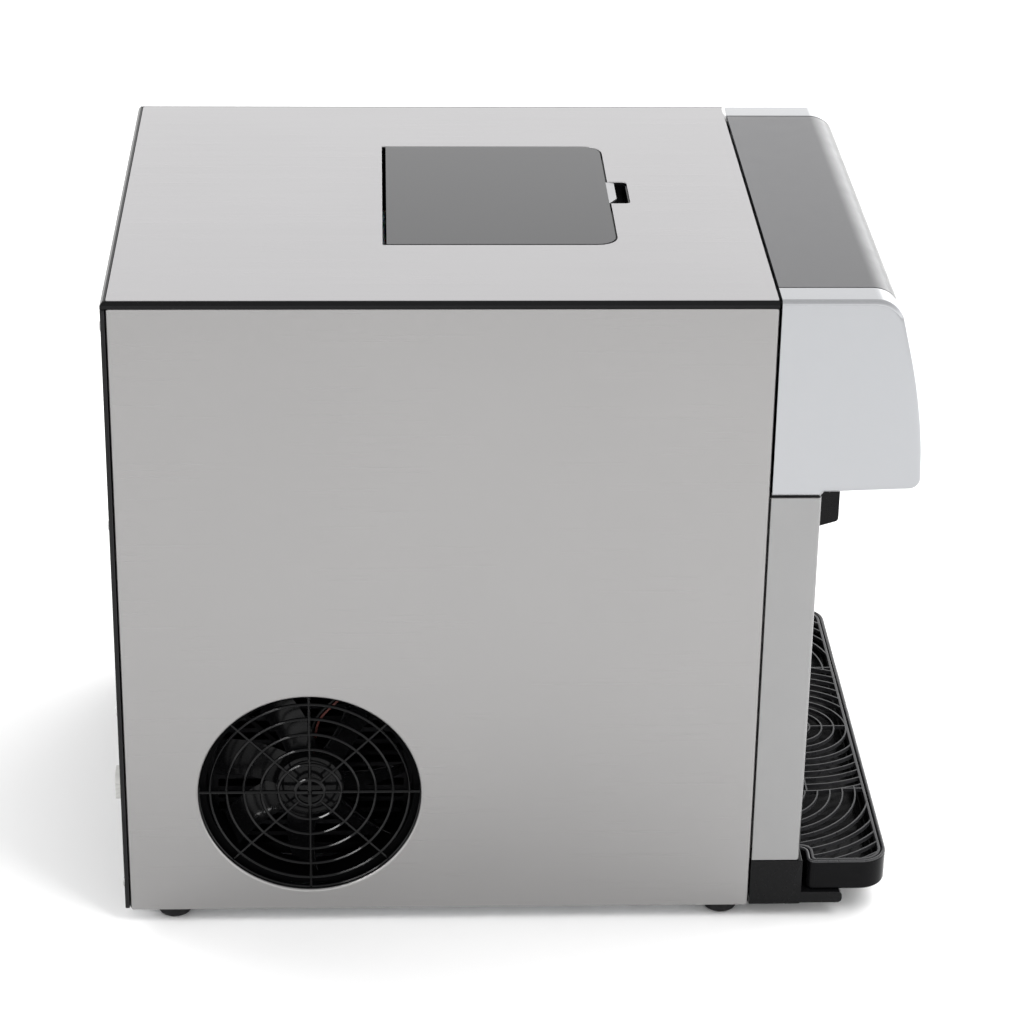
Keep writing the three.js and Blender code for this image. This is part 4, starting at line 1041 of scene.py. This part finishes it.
def arc_band(x, inner, outer, degrees):
    """A band along an arc, through a list of angles."""
    turns = [math.radians(angle) for angle in degrees]
    outline = arc(x, ARC_Z, outer, turns) + arc(x, ARC_Z, inner, reversed(turns))
    return prism("y", outline, SIGN_NEAR, SIGN_FAR)


def power_sign(x):
    bar = rectangle(x - 0.35, x + 0.35, ARC_Z + 0.8, ARC_Z + 4)
    return merged(arc_band(x, 2.5, 3.2, range(120, 421, 15)), prism("y", bar, SIGN_NEAR, SIGN_FAR))


def ice_sign(x):
    """Two overlapping square rings, the second a little lower so that no faces coincide."""
    squares = []
    for shift in (0, 1.6):
        middle, back = shift - 0.6, SIGN_FAR - 0.05 * shift
        outer, inner = [around(x + middle, ARC_Z + middle, half, half) for half in (2, 1.5)]
        rings = [(outer, SIGN_NEAR), (outer, back), (inner, back), (inner, SIGN_NEAR)]
        squares.append(loft("y", rings, closed=True))
    return merged(*squares)


def water_sign(x):
    """A drop."""
    turns = [2 * math.pi * k / 36 for k in range(36)]
    drop = [Vector((x + 2.2 * math.sin(t) * math.sin(t / 2), ARC_Z - 0.6 + 2.9 * math.cos(t))) for t in turns]
    return prism("y", drop, SIGN_NEAR, SIGN_FAR)


def clean_sign(x):
    """Three arcs that chase each other round a circle."""
    return merged(*[arc_band(x, 2.4, 3.1, range(start, start + 91, 10)) for start in (20, 140, 260)])


SIGNS = {"power": power_sign, "ice": ice_sign, "water": water_sign, "clean": clean_sign}


def button_icon(name, x):
    obj = object_of(f"{name}_icon", up_front(SIGNS[name](x), BUTTON_ANGLE))
    finish_piece(obj, "icon", "white_plastic", body=name + "_key")


# ---------- Dispensing ----------

# The dispense lever's pivot in Y and Z, and the radius of its bore.
LEVER_PIVOT, LEVER_BORE, LEVER_LEAN = (-12, 207), 2.8, 9


def ice_chute():
    half, wall, back, front = 30, 2.5, -6.9, -66.5
    side = [(back, 196, 0), (front, 214, 3), (front, 306.3, 0), (-33.5, 305.2, 0), (-31.6, 302.6, 0),
            (back, 302.6, 0)]
    duct = [(back + 5, 234), (back, 230), (-32, 204), (-32, 180), (front + wall, 180), (front + wall, 299.5),
            (back + 5, 299.5)]
    under = [(back + 5, 225), (back, 226.6), (-34.5, 201.5), (-34.5, 180), (back + 5, 180)]
    obj = object_of("ice_chute_duct", prism("x", rounded(side, 8), -half, half))
    carve(obj, prism("x", duct, wall - half, half - wall), prism("x", under, wall - half, half - wall),
          rod("x", LEVER_BORE, -half - 5, half + 5, *LEVER_PIVOT, 24))
    soften(obj, 0.7)
    finish_piece(obj, "gloss_black", "black_plastic", "ice_chute")


def dispense_lever():
    """The paddle that a cup pushes back, with a lip at its foot, leaning forward at rest."""
    half, (y, z) = 24, LEVER_PIVOT
    blade = [(y - 1.5, z), (y + 1.5, z), (y + 1.5, z - 86, 1.4), (y - 1.5, z - 86, 1.4)]
    lip = [(y + 1.5, z - 74), (y - 1.5, z - 74), (y - 4.5, z - 88, 1.2), (y - 1.2, z - 89, 1.2)]
    obj = object_of("dispense_paddle", rod("x", 5, -half, half, y, z, 40))
    join(obj, prism("x", blade, -half, half), prism("x", lip, -half, half))
    carve(obj, rod("x", LEVER_BORE, -half - 5, half + 5, y, z, 24))
    soften(obj, 0.6, 3, 50)
    pivot = Matrix.Translation(at(0, y, z))
    obj.data.transform(pivot @ Matrix.Rotation(-math.radians(LEVER_LEAN), 4, "X") @ pivot.inverted())
    finish_piece(obj, "gloss_black", "black_plastic", "dispense_lever", body="lever")


def water_nozzle():
    x, y = 46, -24
    profile = [(0, 276), (3.4, 276), (4.6, 276.3), (5.1, 277), (6.5, 282.5), (6.5, 301.6), (6.1, 302.2),
               (0, 302.2)]
    obj = object_of("water_spout", lathe("z", profile, x, y, 40))
    carve(obj, lathe("z", [(0, 270), (3.2, 270), (3.2, 286), (0, 286)], x, y, 32))
    finish_piece(obj, "gloss_black", "black_plastic", "water_nozzle")


# ---------- Side fan ----------

FAN_BLADES = 7
GUARD_RINGS = (9.4, 20, 31, 42, 53, 63.5)


def fan_grille():
    """Rings and eight spokes, bevelled on the outside so that they catch the light."""
    near, far = 3 - HALF, 5 - HALF
    rings = [(1.45, 1.5)] + [(r - 0.9, r + 0.9) for r in GUARD_RINGS] + [(FAN_HOLE - 0.6, FAN_HOLE + 6)]
    spokes = [(90 * k, 1.0, 0) for k in range(4)] + [(45 + 90 * k, 0.75, 8.5) for k in range(4)]
    obj = object_of("side_fan_guard", polar_lattice("x", *FAN, rings, spokes, near, far, 14))

    def on_ring_fronts(x, y, z):
        return x < near + 0.1 and 8.6 < from_fan(y, z) < FAN_HOLE + 1

    soften(obj, 0.68, 1, 50, where=on_ring_fronts)
    finish_piece(obj, "guard_black", "gloss_black", "side_fan_grille", sharper=35)


def fan_frame():
    """A square casing with a round bore, and four struts to the motor's seat."""
    near, far, half, plate = 8 - HALF, 33 - HALF, 70, 3
    obj = object_of("fan_casing", prism("x", around(*FAN, half, half, 5), near, far))
    carve(obj, rod("x", 66, near - 5, far + 5, *FAN, 96))
    join(obj, rod("x", 23, far - plate, far, *FAN, 64))
    strut = block(far - plate, far, -1.5, 1.5, 1 - half, half - 1)
    for degrees in (45, 135):
        turn = Matrix.Translation((0, *FAN)) @ Matrix.Rotation(math.radians(degrees), 4, "X")
        join(obj, moved(strut, turn))
    soften(obj, 0.5, 2)
    # Black plastic, darkened further as painted shade inside the fan opening.
    finish_piece(obj, "black_with_painted_shade", "black_plastic", "fan_frame")


def fan_blade(middle, angle, steps=9):
    """A cambered blade, through its sections from the hub to the tip, which widen, flatten and sweep back."""
    root, span = 21, 41.6
    sections = []
    for i in range(steps + 1):
        out = i / steps
        radius, pitch = root + span * out, math.radians(47 - 16 * out)
        half_chord, sweep_back = 12.5 + 3.5 * out, 0.16 * out ** 1.5
        section = []
        for face in (1, -1):
            for j in range(steps + 1):
                along = (2 * j / steps - 1) * face
                off = 2.2 * (1 - along * along) + face * 0.7 * (1 - 0.75 * along * along)
                x = middle + along * half_chord * math.cos(pitch) * 0.62 + off * math.sin(pitch)
                side = along * half_chord * math.sin(pitch) - off * math.cos(pitch)
                turn = angle - sweep_back + side / radius
                section.append((x, FAN[0] + radius * math.cos(turn), FAN[1] + radius * math.sin(turn)))
        sections.append(section)
    return skin(sections)


def fan_rotor():
    """Seven swept, cambered blades on a domed hub."""
    near, rim, inside = 9.5 - HALF, 22, 20.5
    hub = [(0, near), (14, near), (19, near + 0.6), (21.3, near + 2), (rim, near + 4.5), (rim, near + 19),
           (inside, near + 19), (inside, near + 6), (0, near + 6)]
    obj = object_of("fan_blades", lathe("x", hub, *FAN))
    for number in range(FAN_BLADES):
        join(obj, fan_blade(near + 10, 2 * math.pi * (number + 0.5) / FAN_BLADES))
    finish_piece(obj, "gloss_black", "black_plastic", "fan_rotor", body="rotor", sharper=40)


def fan_leads():
    """A red and a black insulated lead from the fan's motor to the top of its frame."""
    x, radius = 35 - HALF, 0.85
    route = [(x, 281, 112), (x, 277, 130), (x, 262, 148), (x + 2, 250, 168), (x + 10, 247, 180),
             (x + 26, 262, 184)]
    beside = [(px + 0.4, py + 2.4, pz + 0.6) for px, py, pz in route]
    # The red lead's darkened colour is painted shade.
    red = object_of("fan_lead_red", sweep(route, radius, 12))
    finish_piece(red, "lead_red_painted_shade", "lead", "fan_lead")
    black = object_of("fan_lead_black", sweep(beside, radius, 12))
    finish_piece(black, "lead_black", "lead")


# ---------- Rear fittings ----------

# Where the fittings' flanges lie on the rear panel.
ON_REAR = REAR_FACE + 0.3


def drain_cap():
    """A soft-cornered plug with finger grips down both sides."""
    x, z = DRAIN
    outline = rounded(around(x, z, 9.5, 9.5, 6), 8)
    obj = object_of("drain_plug_cap", prism("y", outline, ON_REAR, REAR_FACE + 6))
    join(obj, rod("y", 3.6, DEPTH - 6, REAR_FACE + 1, x, z, 32))
    grips = [prism("y", around(x + 10.55 * side, z + 3 * k + 0.5, 1.45, 0.5), REAR_FACE + 1.5, DEPTH + 10)
             for side in (-1, 1) for k in range(-2, 3)]
    carve(obj, merged(*grips))
    soften(obj, 0.4, 3, 50)
    finish_piece(obj, "white_plastic", "white_plastic", "drain_cap", body="drain_plug")


def water_inlet():
    """A hexagonal flange on a tail, with a threaded spigot."""
    x, z = WATER_INLET
    end = REAR_FACE + 6
    thread = [(0, DEPTH + 5)]
    for k in range(4):
        y = DEPTH + 5.2 + 0.9 * k
        thread += [(7.6, y), (8.2, y + 0.3), (8.2, y + 0.5), (7.6, y + 0.8)]
    thread += [(7.4, end), (0, end)]
    obj = object_of("water_inlet_union", rod("y", 13, ON_REAR, DEPTH + 5.5, x, z, 6))
    join(obj, rod("y", 8.6, 384.3, DEPTH + 4, x, z), lathe("y", thread, x, z, 48))
    carve(obj, rod("y", 3.4, 380, DEPTH + 20, x, z, 32))
    finish_piece(obj, "white_plastic", "white_plastic", "water_inlet")


def power_inlet():
    """An appliance inlet with two cut corners, and its three pins."""
    x, z = POWER_INLET
    half, cut = 12, 8
    opening = [(x - half, z - cut, 1), (x + half, z - cut, 1), (x + half, z + 4, 0.5),
               (x + cut, z + cut, 0.5), (x - cut, z + cut, 0.5), (x - half, z + 4, 0.5)]
    obj = object_of("power_socket", prism("y", around(x, z, 24, 14, 3), ON_REAR, DEPTH + 5.6))
    join(obj, block(x - 14, x + 14, DEPTH - 22, DEPTH + 4, z - 10, z + 10))
    carve(obj, prism("y", opening, DEPTH - 12, DEPTH + 10))
    soften(obj, 0.4)
    finish_piece(obj, "black_plastic", "black_plastic", "power_inlet")
    pins = [block(pin - 1, pin + 1, DEPTH - 13, DEPTH + 1, z - 2, z + 2) for pin in (x - 7, x, x + 7)]
    pin_set = object_of("power_pins", merged(*pins))
    soften(pin_set, 0.3, 2)
    finish_piece(pin_set, "nickel", "nickel")


# ---------- Carried-over CAD nodes ----------

# The material of each CAD node that stays in view, and the width of the bevel on its edges.
KEPT = {
    "nickel": {"hatch_hinge_pin": 0, "lever_pin": 0.2, "evaporator": 0.5},
    "zinc": {"base_pan": 0.3, "mid_deck": 0.3, "front_bulkhead": 0.3, "freezer_bracket": 0.3,
             "auger_motor": 0.6},
    "board": {"control_board": 0.3, "power_board": 0.3},
    "black_plastic": {"lever_switch": 0.3, "tray_motor": 0.8, "water_pump": 0.5, "drain_outlet": 0.3},
    "clear_grey": {"ice_bin": 0.5, "auger": 0.3, "water_tank": 0.6, "freezing_tray": 0.4},
    "rubber": {"compressor_grommet_left": 0.3, "compressor_grommet_right": 0.3},
    "copper": {"suction_line": 0, "discharge_line": 0, "filter_drier": 0.4},
    # The condenser's near-black colour is painted shade.
    "fins": {"condenser": 0},
    "enamel": {"compressor": 0.6},
    "white_plastic": {"inlet_valve": 0.6},
}


def smooth_by_angle():
    """A node group that shades a mesh smooth except over its sharp edges."""
    group = bpy.data.node_groups.new("smooth_by_angle", "GeometryNodeTree")
    group.interface.new_socket("Geometry", in_out="INPUT", socket_type="NodeSocketGeometry")
    group.interface.new_socket("Geometry", in_out="OUTPUT", socket_type="NodeSocketGeometry")
    new, link = group.nodes.new, group.links.new
    start, end = new("NodeGroupInput"), new("NodeGroupOutput")
    faces, edges = new("GeometryNodeSetShadeSmooth"), new("GeometryNodeSetShadeSmooth")
    edges.domain = "EDGE"
    angle = new("GeometryNodeInputMeshEdgeAngle")
    test = new("FunctionNodeCompare")
    test.operation = "LESS_THAN"
    test.inputs[1].default_value = math.radians(32)
    link(start.outputs[0], faces.inputs["Geometry"])
    link(faces.outputs[0], edges.inputs["Geometry"])
    link(angle.outputs["Unsigned Angle"], test.inputs[0])
    link(test.outputs[0], edges.inputs["Shade Smooth"])
    link(edges.outputs[0], end.inputs[0])
    return group


def keep_node(name, material, bevel, shading):
    """Gives a CAD node its look by modifiers and material alone, with its own mesh unchanged."""
    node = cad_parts[name]
    node.modifiers.new("weld", "WELD").merge_threshold = 0.003 * MM
    if bevel:
        edges = node.modifiers.new("edges", "BEVEL")
        edges.width = bevel * MM
        edges.segments = 2
        edges.limit_method = "ANGLE"
        edges.angle_limit = math.radians(40)
        edges.use_clamp_overlap = True
    node.modifiers.new("shading", "NODES").node_group = shading
    for index in range(len(node.data.materials)):
        node.data.materials[index] = MATERIALS[material]
    if not node.data.materials:
        node.data.materials.append(MATERIALS[material])


# ---------- Build ----------

make_camera()
make_world()
for light in LIGHTS:
    area_light(*light)
make_floor()
make_materials()

side_panel(-1)
side_panel(1)
side_louvres()
top_panel()
top_frame()
hatch_lid()
hatch_tab()
hatch_gasket()
rear_panel()
screws()
for foot_name, foot_place in FEET.items():
    foot(foot_name, *foot_place)
plinth()
column(-1)
column(1)
splash_panel()
drip_tray()
drip_grid()
head_housing()
control_panel()
display_window()
for button_name, button_x in BUTTONS.items():
    button(button_name, button_x)
    button_icon(button_name, button_x)
ice_chute()
dispense_lever()
water_nozzle()
fan_grille()
fan_frame()
fan_rotor()
fan_leads()
drain_cap()
water_inlet()
power_inlet()
smooth = smooth_by_angle()
for kept_material, kept_nodes in KEPT.items():
    for node_name, node_bevel in kept_nodes.items():
        keep_node(node_name, kept_material, node_bevel, smooth)
